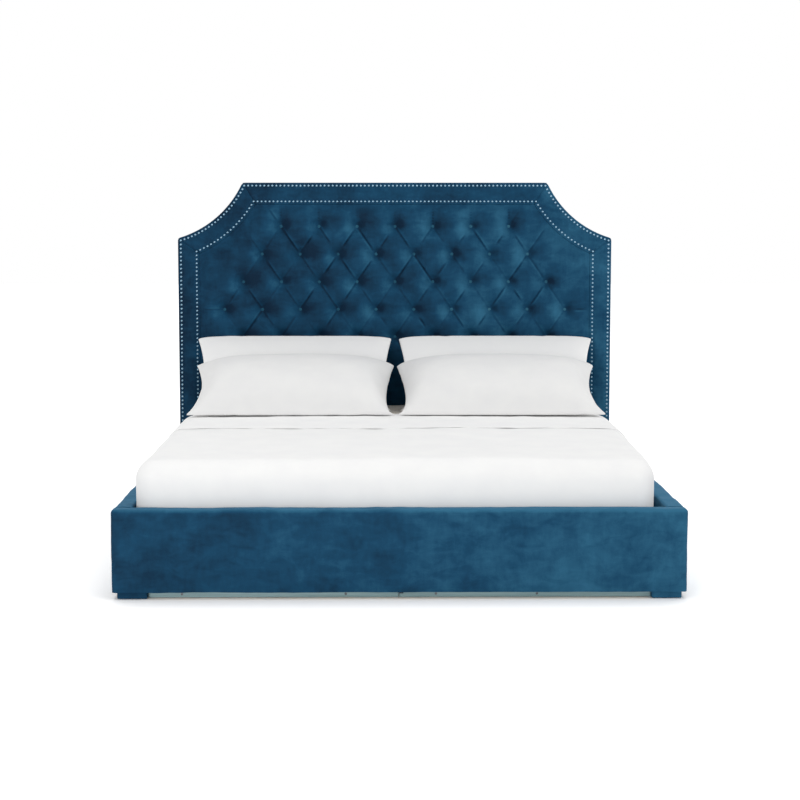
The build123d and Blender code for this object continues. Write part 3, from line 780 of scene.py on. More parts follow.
def border_section():
    """Inset and depth of each point round a section, from behind its inner edge."""
    quarter = np.linspace(0, math.pi / 2, 6)[1:]
    sines, cosines = [math.sin(a) for a in quarter], [math.cos(a) for a in quarter]
    inner, depth, back = border_width, y_panel - y_border, y_back - y_border
    points = [(inner, depth), (inner, depth * 0.6), (inner, inner_edge)]
    points += [
        (inner - inner_edge * (1 - c), inner_edge * (1 - s)) for s, c in zip(sines, cosines)
    ]
    points += [(i, 0.0) for i in np.linspace(inner - inner_edge, border_edge, 22)[1:]]
    points += [(border_edge * (1 - s), border_edge * (1 - c)) for s, c in zip(sines, cosines)]
    points += [(0.0, d) for d in np.linspace(border_edge, back, 9)[1:]]
    points += [(border_skirt, back), (border_skirt, (back + depth) / 2), (border_skirt, depth)]
    points += [(i, depth) for i in np.linspace(border_skirt, inner, 6)[1:]]
    return np.array(points)


section = border_section()
print("section of", len(section), "points")

# %% Border strips
border_crown, border_step = 0.004, 0.0045
nail_dip, nail_reach = 0.0022, 0.0085
seam_dip, seam_pull, seam_reach, pull_reach = 0.004, 0.0025, 0.006, 0.03
border_swell, border_swell_size = 0.0006, 0.09
# Painted light on faces turned to the right and up, and painted shade on the top strip, darker
# than the sides.
painted_light_way, painted_light_share, top_strip_painted_shade = np.array((1.0, 0.0, 0.3)), 0.3, -0.25


def border_strip(strip, stretch, length, mirror, seams, nap):
    """One padded strip of the border, along a stretch of the outline."""
    name = f"velvet_{strip}"
    turns = len(section) - 1

    def place(u, v):
        inset, depth = section[np.rint(v * turns).astype(int)].T
        x, z = stretch(u, inset)
        front = np.clip(1 - depth / border_edge, 0, 1)
        ends = [end * length for end, sewn in zip((u, 1 - u), seams) if sewn]
        seam = bell(np.minimum.reduce(ends), seam_reach)
        across = (inset - border_edge) / (border_width - inner_edge - border_edge)
        crown = border_crown * np.sin(math.pi * np.clip(across, 0, 1)) ** 0.7
        dip = nail_dip * bell(nearest(x * mirror, z, nails), nail_reach)
        spots = np.column_stack([x * mirror, depth, z])
        soft = border_swell * swells(spots, border_swell_size, len(name))
        y = y_border + depth + front * (dip - crown + seam_dip * seam + soft)
        pull = seam_pull * seam * (inset < border_width / 2) * (depth < y_panel - y_border)
        pull = np.clip(1 - inset / pull_reach, 0, 1) * pull
        return np.column_stack([(x - pull * np.sign(x)) * mirror, y, z - pull])

    piece = cloth_grid(name, max(8, round(length / border_step)), turns, place)
    sew_up(piece)
    smooth(piece, 60)
    # Painted light and shade: the strip's painted shade, plus painted light on faces turned to the
    # right and up.
    set_painted_shading(piece, nap + painted_light_share * normals_of(piece) @ painted_light_way)
    dress(piece, velvet, "bed_frame", strip)


top_length = 2 * crest(0.0)[0]
side_length = shoulder(0.0)[1] - side_bottom
border_strip("border_top", along_top, top_length, 1, (True, True), top_strip_painted_shade)
for hand, mirror in hands.items():
    scoop, side = f"border_scoop_{hand}", f"border_side_{hand}"
    border_strip(scoop, along_scoop, scoop_chord, mirror, (True, True), headboard_painted_shade)
    border_strip(side, along_side, side_length, mirror, (True, False), headboard_painted_shade)

# %% [markdown]
# ## Buttons and pleats
#
# The centre is deep buttoning: buttons are pulled through thick foam in a
# diamond lattice, and the spare velvet between them is laid in folds, so each
# diamond is a plump cushion with a crisp pleat on every side. The lattice
# gives the folds' lines, and the outermost buttons have folds to the edge.

# %% Lattice
button_pitch, row_pitch = 0.1715, 0.125
buttons_in_rows = (7, 8, 9, 10, 9, 10)
first_row_drop, half_pitch = 0.196, button_pitch / 2
first_row = board_height - first_row_drop
edge_pleat_reach = button_pitch * 1.2
same_place = 0.001
button_rows = [
    [((k - (count - 1) / 2) * button_pitch, first_row - r * row_pitch) for k in range(count)]
    for r, count in enumerate(buttons_in_rows)
]
buttons = [button for row in button_rows for button in row]


def diagonal_pleats(lean):
    """Folds from each button to the next one below it, all leaning one way."""
    pleats = []
    for upper, lower in zip(button_rows, button_rows[1:]):
        for x, z in upper:
            for other, level in lower:
                if abs(other - x - lean * half_pitch) < same_place:
                    pleats.append(((x, z), (other, level)))
    return pleats


def edge_pleats():
    """Folds from the outermost buttons to the panel's edge."""
    reach = edge_pleat_reach
    pleats = [((x, z), (x, z + reach)) for x, z in button_rows[0]]
    pleats += [((x, z), (x, z - reach)) for x, z in button_rows[-1]]
    widest = max(x for x, _ in buttons)
    for row in button_rows:
        for x, z in (row[0], row[-1]):
            outward = math.copysign(1, x)
            if abs(x) > widest - same_place:
                pleats.append(((x, z), (x + outward * reach, z)))
            elif z > shoulder(0.0)[1] - border_width:
                pleats.append(((x, z), (x + outward * half_pitch, z + row_pitch)))
    return pleats


pleat_families = diagonal_pleats(1), diagonal_pleats(-1), edge_pleats()
print("buttons:", len(buttons), "pleats:", [len(pleats) for pleats in pleat_families])

# %% [markdown]
# A fold isn't the same from end to end: it starts and stops at its own places
# and has its own depth. One side of it lies over the other, so the upper side
# ends in a lip with a ridge. Each fold therefore draws its numbers from a
# seeded generator. Small tucks fan out from every button.

# %% Folds and tucks
fold_reach, fold_width, fold_fade = 0.05, 0.0026, 0.12
fold_draws = ((0.25, 1.0), (-0.1, 0.3), (0.6, 1.1))
lip_width, ridge_gap = 0.012, 0.0036
tuck_out, tuck_width = 0.02, 0.026


def from_pleats(x, z, pleats, seed):
    """Beside some folds: how round the cushion is, and the crease, lip and ridge there."""
    draw = np.random.default_rng(seed)
    best = np.full(len(x), np.inf)
    crease, lip, ridge = np.zeros((3, len(x)))
    for (ax, az), (bx, bz) in pleats:
        run_x, run_z = bx - ax, bz - az
        share = ((x - ax) * run_x + (z - az) * run_z) / (run_x**2 + run_z**2)
        share = np.clip(share, 0, 1)
        gap_x, gap_z = x - ax - share * run_x, z - az - share * run_z
        away = np.hypot(gap_x, gap_z)
        depth, start, end = (draw.uniform(*span) for span in fold_draws)
        depth = depth * np.clip((share - start) / fold_fade, 0, 1)
        depth = depth * np.clip((end - share) / fold_fade, 0, 1)
        crease = np.maximum(crease, depth * bell(away, fold_width))
        above = gap_z * draw.choice((1.0, -1.0), p=(0.75, 0.25)) > 1e-5
        lip = np.maximum(lip, depth * above * np.exp(-away / lip_width))
        ridge = np.maximum(ridge, depth * above * bell(away - ridge_gap, fold_width))
        best = np.minimum(best, away)
    return 1 - (1 - np.clip(best / fold_reach, 0, 1)) ** 2, crease, lip, ridge


def gathers(x, z):
    """Small tucks that fan out from each button."""
    total = np.zeros(len(x))
    draw = np.random.default_rng(23)
    for bx, bz in buttons:
        away = np.hypot(x - bx, z - bz)
        angle = np.arctan2(z - bz, x - bx)
        fan = np.sin(draw.integers(6, 10) * angle + draw.uniform(0, 2 * math.pi))
        total += fan * (away / tuck_out) * bell(away, tuck_width)
    return total


print("folds reach", fold_reach, "m, tucks", tuck_width, "m")

# %% [markdown]
# Painted light and shade round each button: painted light on the left, painted
# shade on the right, and more of both above the top row. Each patch is a place
# beside the button, a width and an amount.

# %% Painted light and shade round the buttons
painted_button_lobes = (
    ((0.018, 0.005), 0.02, -0.75),
    ((-0.036, -0.012), 0.034, 0.62),
    ((0.045, 0.008), 0.05, -0.4),
)
painted_top_row_lobes = ((0.022, 0.05), 0.03, -0.4), ((-0.03, 0.05), 0.034, 0.35)


def painted_button_shading(x, z):
    """Painted light and shade round each button."""
    total = np.zeros(len(x))
    draw = np.random.default_rng(41)
    for bx, bz in buttons:
        lobes = painted_button_lobes + painted_top_row_lobes if bz == first_row else painted_button_lobes
        for (shift_x, shift_z), spread, amount in lobes:
            away = np.hypot(x - bx - shift_x, z - bz - shift_z)
            total += amount * draw.uniform(0.7, 1.3) * bell(away, spread)
    return total


print("patches of pile:", len(painted_button_lobes) * len(buttons) + len(painted_top_row_lobes) * len(button_rows[0]))

# %% [markdown]
# ## Cutting to the outline
#
# The buttoned panel and the back cloth both start as a grid that is larger
# than they are. Faces that lie wholly outside the outline are deleted, and
# points that still stand outside it are moved onto it.

# %% Cut to the outline
def inside_by(x, z, inset, bottom):
    """How far inside the outline at an inset a point is."""
    side, top = half_width - inset, board_height - inset
    scoop = np.hypot(np.abs(x) - scoop_x, z - scoop_z) - scoop_radius - inset
    return np.minimum.reduce([side - np.abs(x), top - z, z - bottom, scoop])


def to_outline(x, z, inset, bottom):
    """Moves points that are outside the outline at an inset onto it."""
    side = half_width - inset
    x = np.clip(x, -side, side)
    z = np.clip(z, bottom, board_height - inset)
    out_x, out_z = np.abs(x) - scoop_x, z - scoop_z
    push = np.maximum((scoop_radius + inset) / np.hypot(out_x, out_z), 1)
    return np.sign(x) * (scoop_x + out_x * push), scoop_z + out_z * push


def cut_to_outline(piece, inset, bottom):
    """Cuts a grid to the outline at an inset and gives its points' x and z."""
    points = points_of(piece)
    inside = inside_by(points[:, 0], points[:, 2], inset, bottom) > 0
    with editing(piece):
        pick(piece, "faces", lambda face: not any(inside[v.index] for v in face.verts))
        bpy.ops.mesh.delete(type="FACE")
    points = points_of(piece)
    return to_outline(points[:, 0], points[:, 2], inset, bottom)


print("grids can be cut to the outline")

# %% [markdown]
# ## Buttoned panel
#
# The panel's grid is laid along the pleats, because a fold that crosses a grid
# at an angle would show as a saw edge. How far a point stands out comes from
# its distance to the nearest pleats and buttons, and at the rim the cushions
# roll down to the border.

# %% Face of the panel
panel_gap = 0.0003
panel_inset = border_width + panel_gap
panel_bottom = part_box("tufted_panel")[0].z
y_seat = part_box("tuft_buttons")[1].y
pit_floor, pit_rise, pit_width = 0.0045, 0.0225, 0.03
plump, lip_height, fold_depth, tuck_height = 0.0035, 0.003, 0.0055, 0.0009
panel_swell, panel_swell_size = 0.0011, 0.11
edge_level, edge_reach = 0.002, 0.045
# Painted highlights on ridges and lips, and painted shade in creases.
painted_ridge_light, painted_crease_shade, painted_lip_light = 1.6, 0.6, 0.4


def buttoned_face(x, z):
    """Where the velvet's face stands at each point, as a y place, and the painted light and shade
    there.
    """
    folds = [from_pleats(x, z, pleats, 31 + i) for i, pleats in enumerate(pleat_families)]
    body = folds[0][0] * folds[1][0] * folds[2][0]
    crease, lip, ridge = (np.maximum.reduce([fold[i] for fold in folds]) for i in (1, 2, 3))
    pit = 1 - bell(nearest(x, z, buttons), pit_width)
    height = pit_rise + plump * body + lip_height * lip - fold_depth * crease
    soft = panel_swell * swells(np.column_stack([x, 0 * x, z]), panel_swell_size, 5)
    height = pit_floor + height * pit + soft * pit + tuck_height * gathers(x, z)
    rim = np.clip(inside_by(x, z, panel_inset, panel_bottom) / edge_reach, 0, 1)
    roll = rim**2 * (3 - 2 * rim)
    edge = y_border + edge_level
    # Painted light and shade: highlights along folds, shade in creases, shade over the headboard,
    # light and shade round the buttons.
    painted_fold_shading = painted_ridge_light * ridge - painted_crease_shade * crease + painted_lip_light * lip
    nap = headboard_painted_shade + painted_button_shading(x, z) + roll * painted_fold_shading
    return edge - roll * (edge - y_seat + height), nap


print("panel from z", panel_bottom, "up, seat at y", y_seat)

# %% Buttoned panel
lattice_reach, cells_per_half = 20.0, 20


def on_lattice(u, v):
    """A flat point, with u and v along the two ways that the pleats run."""
    p, q = (2 * u - 1) * lattice_reach, (2 * v - 1) * lattice_reach
    x, z = half_pitch * (p + q) / 2, first_row + row_pitch * (p - q) / 2
    return np.column_stack([x, 0 * p, z])


def back_panel(panel):
    """Carries the panel's edge back to the board behind it."""
    with editing(panel):
        pick(panel, "edges", lambda edge: edge.is_boundary)
        bpy.ops.mesh.extrude_edges_move()
        mesh = bmesh.from_edit_mesh(panel.data)
        for corner in mesh.verts:
            if corner.select:
                corner.co.y = y_panel
        bmesh.update_edit_mesh(panel.data)


cells = round(lattice_reach * cells_per_half)
panel = cloth_grid("velvet_buttoned_panel", cells, cells, on_lattice)
panel_x, panel_z = cut_to_outline(panel, panel_inset, panel_bottom)
panel_y, panel_painted_shading = buttoned_face(panel_x, panel_z)
put_points(panel, np.column_stack([panel_x, panel_y, panel_z]))
set_painted_shading(panel, panel_painted_shading)
back_panel(panel)
sew_up(panel)
smooth(panel, 75)
dress(panel, velvet, "bed_frame", "tufted_panel")

# %% [markdown]
# ## Rails, footboard and lower cover
#
# These are timber boxes with padding and velvet over them, open underneath
# where the cloth is stapled. A cube is added at the cover's size, hollowed
# from below round its core by an inset and an extrude, and its upper edges
# are bevelled. Cuts across it give points enough for a slight, soft unevenness.

# %% Padded covers
case_swells = ((0.0009, 0.22, 3), (0.0004, 0.07, 4))
# Painted highlight on the covers' faces turned up.
case_top_painted_light, first_inset, round_segments = 1.1, 0.002, 6


def hollow_case(case, low, high):
    """In edit mode, insets the underside and pushes it up round the core."""
    pick(case, "faces", lambda face: face.normal.z < -0.9)
    bpy.ops.mesh.inset(thickness=first_inset)
    mesh = bmesh.from_edit_mesh(case.data)
    hole = next(face for face in mesh.faces if face.select)
    middle = hole.calc_center_median()
    for corner in hole.verts:
        corner.co.x = low.x if corner.co.x < middle.x else high.x
        corner.co.y = low.y if corner.co.y < middle.y else high.y
    bmesh.update_edit_mesh(case.data)
    bpy.ops.mesh.extrude_region_move(TRANSFORM_OT_translate={"value": (0, 0, high.z - low.z)})


def soften_case(case, middle):
    """Moves the outer points a little in and out, as stuffing does, and paints light on faces
    turned up.
    """
    finer(case, "SIMPLE")
    points, facing = points_of(case), normals_of(case)
    outer = (facing * (points - np.array(middle))).sum(1) > 0
    bulge = sum(depth * swells(points, size, seed) for depth, size, seed in case_swells)
    put_points(case, points + facing * (bulge * outer)[:, None])
    smooth(case, 40)
    # Painted highlight on faces turned up.
    set_painted_shading(case, case_top_painted_light * np.maximum(normals_of(case)[:, 2], 0))


def padded_case(name, node, core, round_edges, step):
    """A padded cover, hollowed for its core, with rounded edges, cut at a step."""
    low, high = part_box(node)
    case = block(name, low, high)
    with editing(case):
        if core:
            hollow_case(case, *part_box(core))
        for radius, test in round_edges:
            pick(case, "edges", lambda edge: test([v.co for v in edge.verts], low, high))
            bpy.ops.mesh.bevel(offset=radius, segments=round_segments, affect="EDGES")
        cut_across(low, high, (step,) * 3)
    soften_case(case, (low + high) / 2)
    dress(case, velvet, "bed_frame", node)


print("padded covers can be made")

# %% [markdown]
# Which edges are rounded is told by where their two ends lie. The footboard is
# rounded on top and at its two front corners. A rail is rounded along the top,
# more on its outer side than on its inner one.

# %% Footboard, rails and lower cover
def on(ends, axis, place):
    """Whether both ends of an edge lie at a place along an axis."""
    return all(abs(end[axis] - place) < 1e-4 for end in ends)


def footboard_edges(ends, low, high):
    """The upper edges and the two upright edges at the front."""
    top, front = on(ends, 2, high.z), on(ends, 1, low.y)
    at_side = on(ends, 0, low.x) or on(ends, 0, high.x)
    return (top and (front or at_side or on(ends, 1, high.y))) or (front and at_side)


def left_edge(ends, low, high):
    """A rail's upper edge on its left."""
    return on(ends, 2, high.z) and on(ends, 0, low.x)


def right_edge(ends, low, high):
    """A rail's upper edge on its right."""
    return on(ends, 2, high.z) and on(ends, 0, high.x)


def every_edge(ends, low, high):
    return True


footboard_step, case_step = 0.028, 0.03
footboard_rounds, lower_rounds = [(0.014, footboard_edges)], [(0.006, every_edge)]
outer_round, inner_round = 0.016, 0.009
padded_case(
    "velvet_footboard", "footboard_cover", "footboard_core", footboard_rounds, footboard_step
)
for hand, (outer, inner) in {
    "left": (left_edge, right_edge),
    "right": (right_edge, left_edge),
}.items():
    padded_case(
        f"velvet_side_rail_{hand}",
        f"side_rail_cover_{hand}",
        f"side_rail_core_{hand}",
        [(outer_round, outer), (inner_round, inner)],
        case_step,
    )
padded_case("velvet_lower_cover", "headboard_lower_cover", None, lower_rounds, case_step)

# %% [markdown]
# ## Back cloth
#
# A thin black cloth is stapled over the back of the headboard. It is cut to
# the board's outline and pulled tight over the posts and rails, so between
# them it sinks in a little, with faint ripples.

# %% Back cloth
cloth_low, cloth_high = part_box("headboard_back_cloth")
cloth_wide, cloth_tall = cloth_high.x - cloth_low.x, cloth_high.z - cloth_low.z
cloth_step, cloth_thick, cloth_sunk, staple_gap = 0.016, 0.0006, 0.0009, 0.0001
ripple_size, ripple_drawn = 0.12, (1.0, 1.0, 0.3)
post_inside, post_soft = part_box("headboard_post_right")[0].x, 0.05


def make_back_cloth():
    def place(u, v):
        return np.column_stack([cloth_low.x + cloth_wide * u, 0 * u, cloth_low.z + cloth_tall * v])

    across, along = round(cloth_wide / cloth_step), round(cloth_tall / cloth_step)
    cloth = cloth_grid("spun_back_cloth", across, along, place)
    x, z = cut_to_outline(cloth, half_width - cloth_high.x, cloth_low.z)
    open_span = np.clip((post_inside - np.abs(x)) / post_soft, 0, 1)
    drawn_down = np.column_stack([x, 0 * x, z]) * ripple_drawn
    ripple = np.clip(0.5 + 0.25 * swells(drawn_down, ripple_size, 91), 0, 1)
    y = cloth_high.y - staple_gap - cloth_sunk * open_span * ripple
    put_points(cloth, np.column_stack([x, y, z]))
    sew_up(cloth, close=False)
    thicken(cloth, cloth_thick, 1.0)
    points = points_of(cloth)
    points[:, 1] -= max(points[:, 1].max() - cloth_high.y, 0)
    put_points(cloth, points)
    smooth(cloth, 60)
    return cloth


dress(make_back_cloth(), back_cloth, "bed_frame", "headboard_back_cloth")

# %% [markdown]
# ## Mattress
#
# Only a cream patch of the mattress shows between the pillows, but it is bare
# once the pillows are lifted off. It is a block with soft edges, a quilted top
# and two taped seams round its sides, so a cube is bevelled, cut into small
# faces and then quilted by moving its points.

# %% Mattress
mattress_low, mattress_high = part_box("mattress")
corner_draw, corner_reach, corner_start = 0.029, 0.9, 0.5
mattress_crown, mattress_edge, mattress_clear = 0.004, 0.05, 0.001
quilt, channel_depth, channel_width = 0.24, 0.006, 0.4
tape_depth, tape_width = 0.005, 0.008
mattress_steps, edge_segments, top_facing = (0.03, 0.03, 0.025), 8, 0.7


def drawn_in(points):
    """Draws the bedding in at the right foot corner, where it was tucked tighter."""
    forward = np.clip((mattress_low.y + corner_reach - points[:, 1]) / corner_reach, 0, 1)
    outward = (points[:, 0] - corner_start) / (mattress_high.x - corner_start)
    drawn = points.copy()
    drawn[:, 0] -= corner_draw * forward**1.5 * np.clip(outward, 0, 1) ** 2
    return drawn


def quilted(points, facing, low, high):
    """Crowns a block's top, quilts it in diamonds and draws two tapes round its sides."""
    x, y, z = points.T
    wide = np.clip(1 - (x / (high.x - mattress_edge)) ** 2, 0, 1)
    z += mattress_crown * wide * (z > (low.z + high.z) / 2)
    channels = [np.abs(np.sin(math.pi * way / quilt)) for way in (x + y, x - y)]
    shallow = np.clip(np.minimum(*channels) / channel_width, 0, 1)
    sink = channel_depth * (1 - shallow) ** 2
    tape = np.minimum(np.abs(z - high.z + mattress_edge), np.abs(z - low.z - mattress_edge))
    sunk = np.where(facing[:, 2] > top_facing, sink, tape_depth * bell(tape, tape_width))
    return points - facing * (sunk + mattress_clear)[:, None]


def make_mattress():
    low, high = mattress_low.copy(), mattress_high.copy()
    high.z -= mattress_crown
    mattress = block("quilted_mattress", low, high)
    with editing(mattress):
        bpy.ops.mesh.select_all(action="SELECT")
        bpy.ops.mesh.bevel(offset=mattress_edge, segments=edge_segments, affect="EDGES")
        cut_across(low, high, mattress_steps)
    points = quilted(points_of(mattress), normals_of(mattress), low, high)
    put_points(mattress, drawn_in(points))
    smooth(mattress, 60)
    return mattress


dress(make_mattress(), ticking, "mattress_set", "mattress")

# %% [markdown]
# ## Covers over the mattress
#
# The duvet and the sheet are drawn tight over the mattress and tucked down
# between it and the rails. Laid flat, such a cover is a plain oblong, so it
# starts as a grid. The part over an edge bends round that edge and then hangs
# straight down, and at the foot corners the oblong's corner is gathered into a
# round. Slight swells keep it from looking like a board.

# %% Tucking a cover
cover_crown = 0.004
bed_swell_depth, bed_swell_size = 0.0022, 0.42
pressed, pressed_from = 0.75, 0.25


def bed_swell(points):
    """Wide, slight swells of the bedding, which the pillows press flat at the head."""
    free = 1 - pressed * np.clip(points[:, 1] / pressed_from, 0, 1)
    return bed_swell_depth * swells(points, bed_swell_size, 61) * free


def cut_size(low, high, radius):
    """A cover's level, how far it goes over an edge, and half the width that it is cut to."""
    top = high.z - cover_crown
    over = top - low.z + radius * (math.pi / 2 - 1)
    return top, over, high.x - radius + over


def tucked(across, along, half, foot, top, radius):
    """Where a point of a flat cover lies on the bed, and which way it faces there."""
    flat_x, flat_y = half - radius, foot + radius
    over_x = np.maximum(np.abs(across) - flat_x, 0)
    over_y = np.maximum(flat_y - along, 0)
    over = np.maximum(over_x, over_y)
    less = np.minimum(over_x, over_y) / np.maximum(over, 1e-9)
    turn = np.where(over_x >= over_y, less * math.pi / 4, math.pi / 2 - less * math.pi / 4)
    way_x, way_y = np.sign(across) * np.cos(turn), -np.sin(turn)
    bend = np.minimum(over / radius, math.pi / 2)
    out = radius * np.sin(bend)
    down = radius * (1 - np.cos(bend)) + np.maximum(over - radius * math.pi / 2, 0)
    x = np.clip(across, -flat_x, flat_x) + way_x * out
    y = np.maximum(along, flat_y) + way_y * out
    crown = cover_crown * np.clip(1 - (x / flat_x) ** 2, 0, 1)
    level = np.column_stack([x, y, top + crown - down])
    facing = np.column_stack([way_x * np.sin(bend), way_y * np.sin(bend), np.cos(bend)])
    return level, facing


print("covers can be tucked")

# %% Duvet
duvet_low, duvet_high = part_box("duvet")
duvet_round, duvet_step, duvet_thick, duvet_sink = 0.07, 0.011, 0.008, 0.002
duvet_swell, duvet_swell_size = 0.0009, 0.15


def make_duvet():
    top, over, wide = cut_size(duvet_low, duvet_high, duvet_round)
    foot_end = duvet_low.y + duvet_round - over
    length = duvet_high.y - foot_end

    def place(u, v):
        across, along = (2 * u - 1) * wide, foot_end + length * v
        level, facing = tucked(across, along, duvet_high.x, duvet_low.y, top, duvet_round)
        soft = bed_swell(level) + duvet_swell * swells(level, duvet_swell_size, 62)
        return drawn_in(level + facing * (soft - duvet_sink)[:, None])

    cells = round(2 * wide / duvet_step), round(length / duvet_step)
    duvet = cloth_grid("white_duvet", *cells, place)
    thicken(duvet, duvet_thick, -1.0)
    smooth(duvet, 60)
    return duvet


dress(make_duvet(), linen, "mattress_set", "duvet")

# %% [markdown]
# ## Turned-down sheet
#
# The top sheet is folded back over the duvet's head end and hangs a little way
# down both sides. It is one flat strip of thin cloth laid over the duvet, with
# a stitched hem along its front edge.

# %% Turned-down sheet
cuff_low, cuff_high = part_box("sheet_cuff")
cuff_round, cuff_step, cuff_thick, cuff_sink = 0.078, 0.01, 0.0018, 0.003
cuff_swell, cuff_swell_size = 0.0007, 0.09
hem, stitch_depth, stitch_width = 0.022, 0.0012, 0.004
edge_depth, edge_width = 0.0026, 0.006


def make_cuff():
    top, _, wide = cut_size(cuff_low, cuff_high, cuff_round)
    length = cuff_high.y - cuff_low.y
    far_foot = cuff_low.y - 1.0

    def place(u, v):
        across, along = (2 * u - 1) * wide, cuff_low.y + length * v
        level, facing = tucked(across, along, cuff_high.x, far_foot, top, cuff_round)
        soft = bed_swell(level) + cuff_swell * swells(level, cuff_swell_size, 71)
        from_edge = along - cuff_low.y
        soft -= stitch_depth * bell(from_edge - hem, stitch_width)
        soft -= edge_depth * np.exp(-from_edge / edge_width)
        return level + facing * (soft - cuff_sink)[:, None]

    cells = round(2 * wide / cuff_step), round(length / cuff_step)
    cuff = cloth_grid("turned_down_sheet", *cells, place)
    thicken(cuff, cuff_thick, -1.0)
    smooth(cuff, 60)
    print("sheet laid flat:", round(2 * wide, 3), "by", round(length, 3))
    return cuff


dress(make_cuff(), linen, "mattress_set", "sheet_cuff")

# %% [markdown]
# ## Pillows
#
# A pillow is two oblongs of cotton sewn round the rim and stuffed. Blown up by
# cloth simulation it takes the right outline by itself: the sides draw in
# between the corners and small tucks form along the seam. Each pillow is blown
# up flat and then bent into its place: the back ones lean in the corner by the
# headboard, and the front ones lie on them.

# %% Stuff a pillow
stuffing_steps = 20
pillow_cells, pillow_cut, layers_apart = (80, 46), (0.94, 0.54, 1.0), 0.006
pillow_swell, pillow_swell_size = 0.0015, 0.08
calm_factor, calm_rounds = 0.5, 8
cloth_settings = {
    "quality": 5,
    "mass": 0.3,
    "tension_stiffness": 20.0,
    "compression_stiffness": 20.0,
    "shear_stiffness": 6.0,
    "bending_stiffness": 2.0,
    "use_pressure": True,
    "uniform_pressure_force": 1.6,
}


def sewn_pillow(name, seed):
    """Two layers of cloth sewn round the rim. Gives the piece and its flat points."""
    let_go()
    across, along = pillow_cells
    bpy.ops.mesh.primitive_grid_add(x_subdivisions=across, y_subdivisions=along, size=1.0)
    pillow = named(name)
    points = points_of(pillow) * pillow_cut
    points[:, 2] += pillow_swell * swells(points, pillow_swell_size, seed)
    put_points(pillow, points)
    with editing(pillow):
        bpy.ops.mesh.select_all(action="SELECT")
        bpy.ops.mesh.extrude_region_move(TRANSFORM_OT_translate={"value": (0, 0, layers_apart)})
        bpy.ops.mesh.select_all(action="SELECT")
        bpy.ops.mesh.normals_make_consistent(inside=False)
    return pillow, points_of(pillow)


def stuff(pillow):
    """Blows a sewn pillow up by pressure and calms its surface."""
    stuffing = pillow.modifiers.new("stuffing", "CLOTH")
    for key, value in cloth_settings.items():
        setattr(stuffing.settings, key, value)
    stuffing.settings.effector_weights.gravity = 0.0
    stuffing.point_cache.frame_start, stuffing.point_cache.frame_end = 1, stuffing_steps
    for step in range(1, stuffing_steps + 1):
        scene.frame_set(step)
    calm = pillow.modifiers.new("calm", "SMOOTH")
    calm.factor, calm.iterations = calm_factor, calm_rounds
    apply_all(pillow)
    scene.frame_set(1)


print("pillows are stuffed in", stuffing_steps, "steps")

# %% [markdown]
# Seen from the side, a pillow has a straight line from its low edge to its
# high one. `front` and `belly` say how far it swells before and behind that
# line, and `droop` how far its upper corners hang. Its two ends are drawn in
# between their corners, more at the outer end than at the inner one.

# %% Pillow forms
pillow_width, pillow_rim, rim_share = 0.872, 0.004, 0.03
outer_draw, inner_draw = 0.044, 0.036
outer_waist, inner_waist = 0.85, 0.6
blown_share = 0.45
pillow_forms = {
    "back": {
        "low": (0.5675, 0.4699), "high": (0.9575, 0.7679), "front": 0.014, "belly": 0.116,
        "droop": 0.012, "offset": 0.452, "seed": 80, "cotton": back_pillow_cotton_painted_lighter,
    },
    "front": {
        "low": (0.3125, 0.481), "high": (0.7865, 0.6731), "front": 0.098, "belly": 0.054,
        "droop": 0.028, "offset": 0.441, "seed": 82, "cotton": front_pillow_cotton_partly_painted_greyer,
    },
}


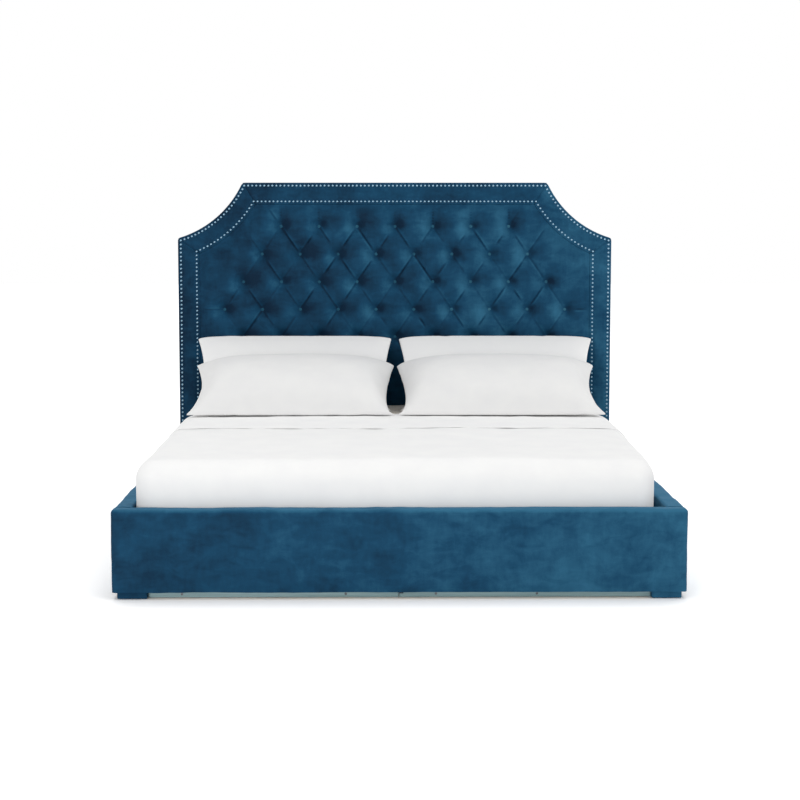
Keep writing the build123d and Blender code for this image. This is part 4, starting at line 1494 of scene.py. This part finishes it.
def bent(flat, blown, form, centre, flip):
    """Bends a stuffed pillow to its side view and moves it to its place across the bed."""
    reach = np.abs(flat).max(0)
    share = flip * flat[:, 0] / reach[0]
    along = (flat[:, 1] / reach[1] + 1) / 2
    height = blown[:, 2] - (blown[:, 2].max() + blown[:, 2].min()) / 2
    full = height / np.abs(height).max()
    arc = 1 - (2 * along - 1) ** 2
    belly_arc = arc * np.maximum(1 - np.abs(share) ** 2.6, 0)
    front_arc = arc * np.maximum(1 - np.abs(share) ** 5, 0)
    belly = -np.minimum(np.abs(full), belly_arc) * form["belly"] - pillow_rim
    front = np.abs(full) * blown_share + front_arc * (1 - blown_share)
    front = front * form["front"] + pillow_rim
    off = np.where(full > 0, front, belly) * np.clip(np.abs(full) / rim_share, 0, 1)
    low, high = np.array(form["low"]), np.array(form["high"])
    tip = high[None, :] - np.column_stack([0 * share, form["droop"] * np.abs(share) ** 8])
    chord = tip - low
    length = np.linalg.norm(chord, axis=1)[:, None]
    up = np.column_stack([-chord[:, 1], chord[:, 0]]) / length
    side = low + chord * along[:, None] + up * off[:, None]
    outer = share * centre > 0
    waist = along ** np.where(outer, outer_waist, inner_waist)
    drawn = np.where(outer, outer_draw, inner_draw) * 4 * waist * (1 - waist)
    drawn = drawn * np.abs(share) ** 3
    return np.column_stack([centre + share * pillow_width / 2 - np.sign(share) * drawn, side])


print("pillow forms:", list(pillow_forms))

# %% Lay the pillows
for kind, form in pillow_forms.items():
    for number, (hand, mirror) in enumerate(hands.items()):
        pillow, flat = sewn_pillow(f"cotton_pillow_{kind}_{hand}", form["seed"] + number)
        stuff(pillow)
        centre = mirror * form["offset"]
        put_points(pillow, bent(flat, points_of(pillow), form, centre, mirror))
        finer(pillow, "CATMULL_CLARK")
        sew_up(pillow, close=False)
        smooth(pillow, 70)
        body, node = f"{kind}_pillow_{hand}", f"pillow_{kind}_{hand}"
        dress(pillow, form["cotton"], body, node)

# %% [markdown]
# ## Finishes of the CAD nodes that stay
#
# Hard pieces keep their CAD shape and get the finishes made above. The feet
# are covered in the same velvet as the frame.

# %% CAD finishes
def both(*kinds):
    """The left and the right node of each kind."""
    return [f"{kind}_{hand}" for kind in kinds for hand in hands]


kept = (
    (pewter, ["nailheads_outer", "nailheads_inner"]),
    (button_velvet_painted_lighter, ["tuft_buttons"]),
    (velvet, both("foot_front", "foot_rear")),
    (satin, both("plinth")),
    (dark_plastic, ["plinth_joiner", "leg_glides"]),
    (zinc, ["plinth_screws", "corner_bolts", "ledger_screws", "hanger_screws", "foot_screws"]),
    (black_steel, ["corner_brackets", "beam_hangers"]),
    (plywood, ["headboard_panel"]),
    (webbing, ["slat_straps"]),
    (felt, ["foot_pads"]),
    (pine["x"], ["slats", "footboard_core", "plinth_blocks"]),
    (pine["x"], [f"headboard_{level}_rail" for level in ("top", "middle", "bottom")]),
    (pine["y"], ["centre_beam", *both("side_rail_core", "ledger")]),
    (pine["z"], ["leg_dowels", *both("headboard_post", "headboard_scoop_block")]),
    (pine["z"], [f"centre_leg_{number}" for number in (1, 2, 3)]),
)
for material, names in kept:
    for node in names:
        nodes[node].data.materials.clear()
        nodes[node].data.materials.append(material)
print("CAD nodes finished:", sum(len(names) for _, names in kept))
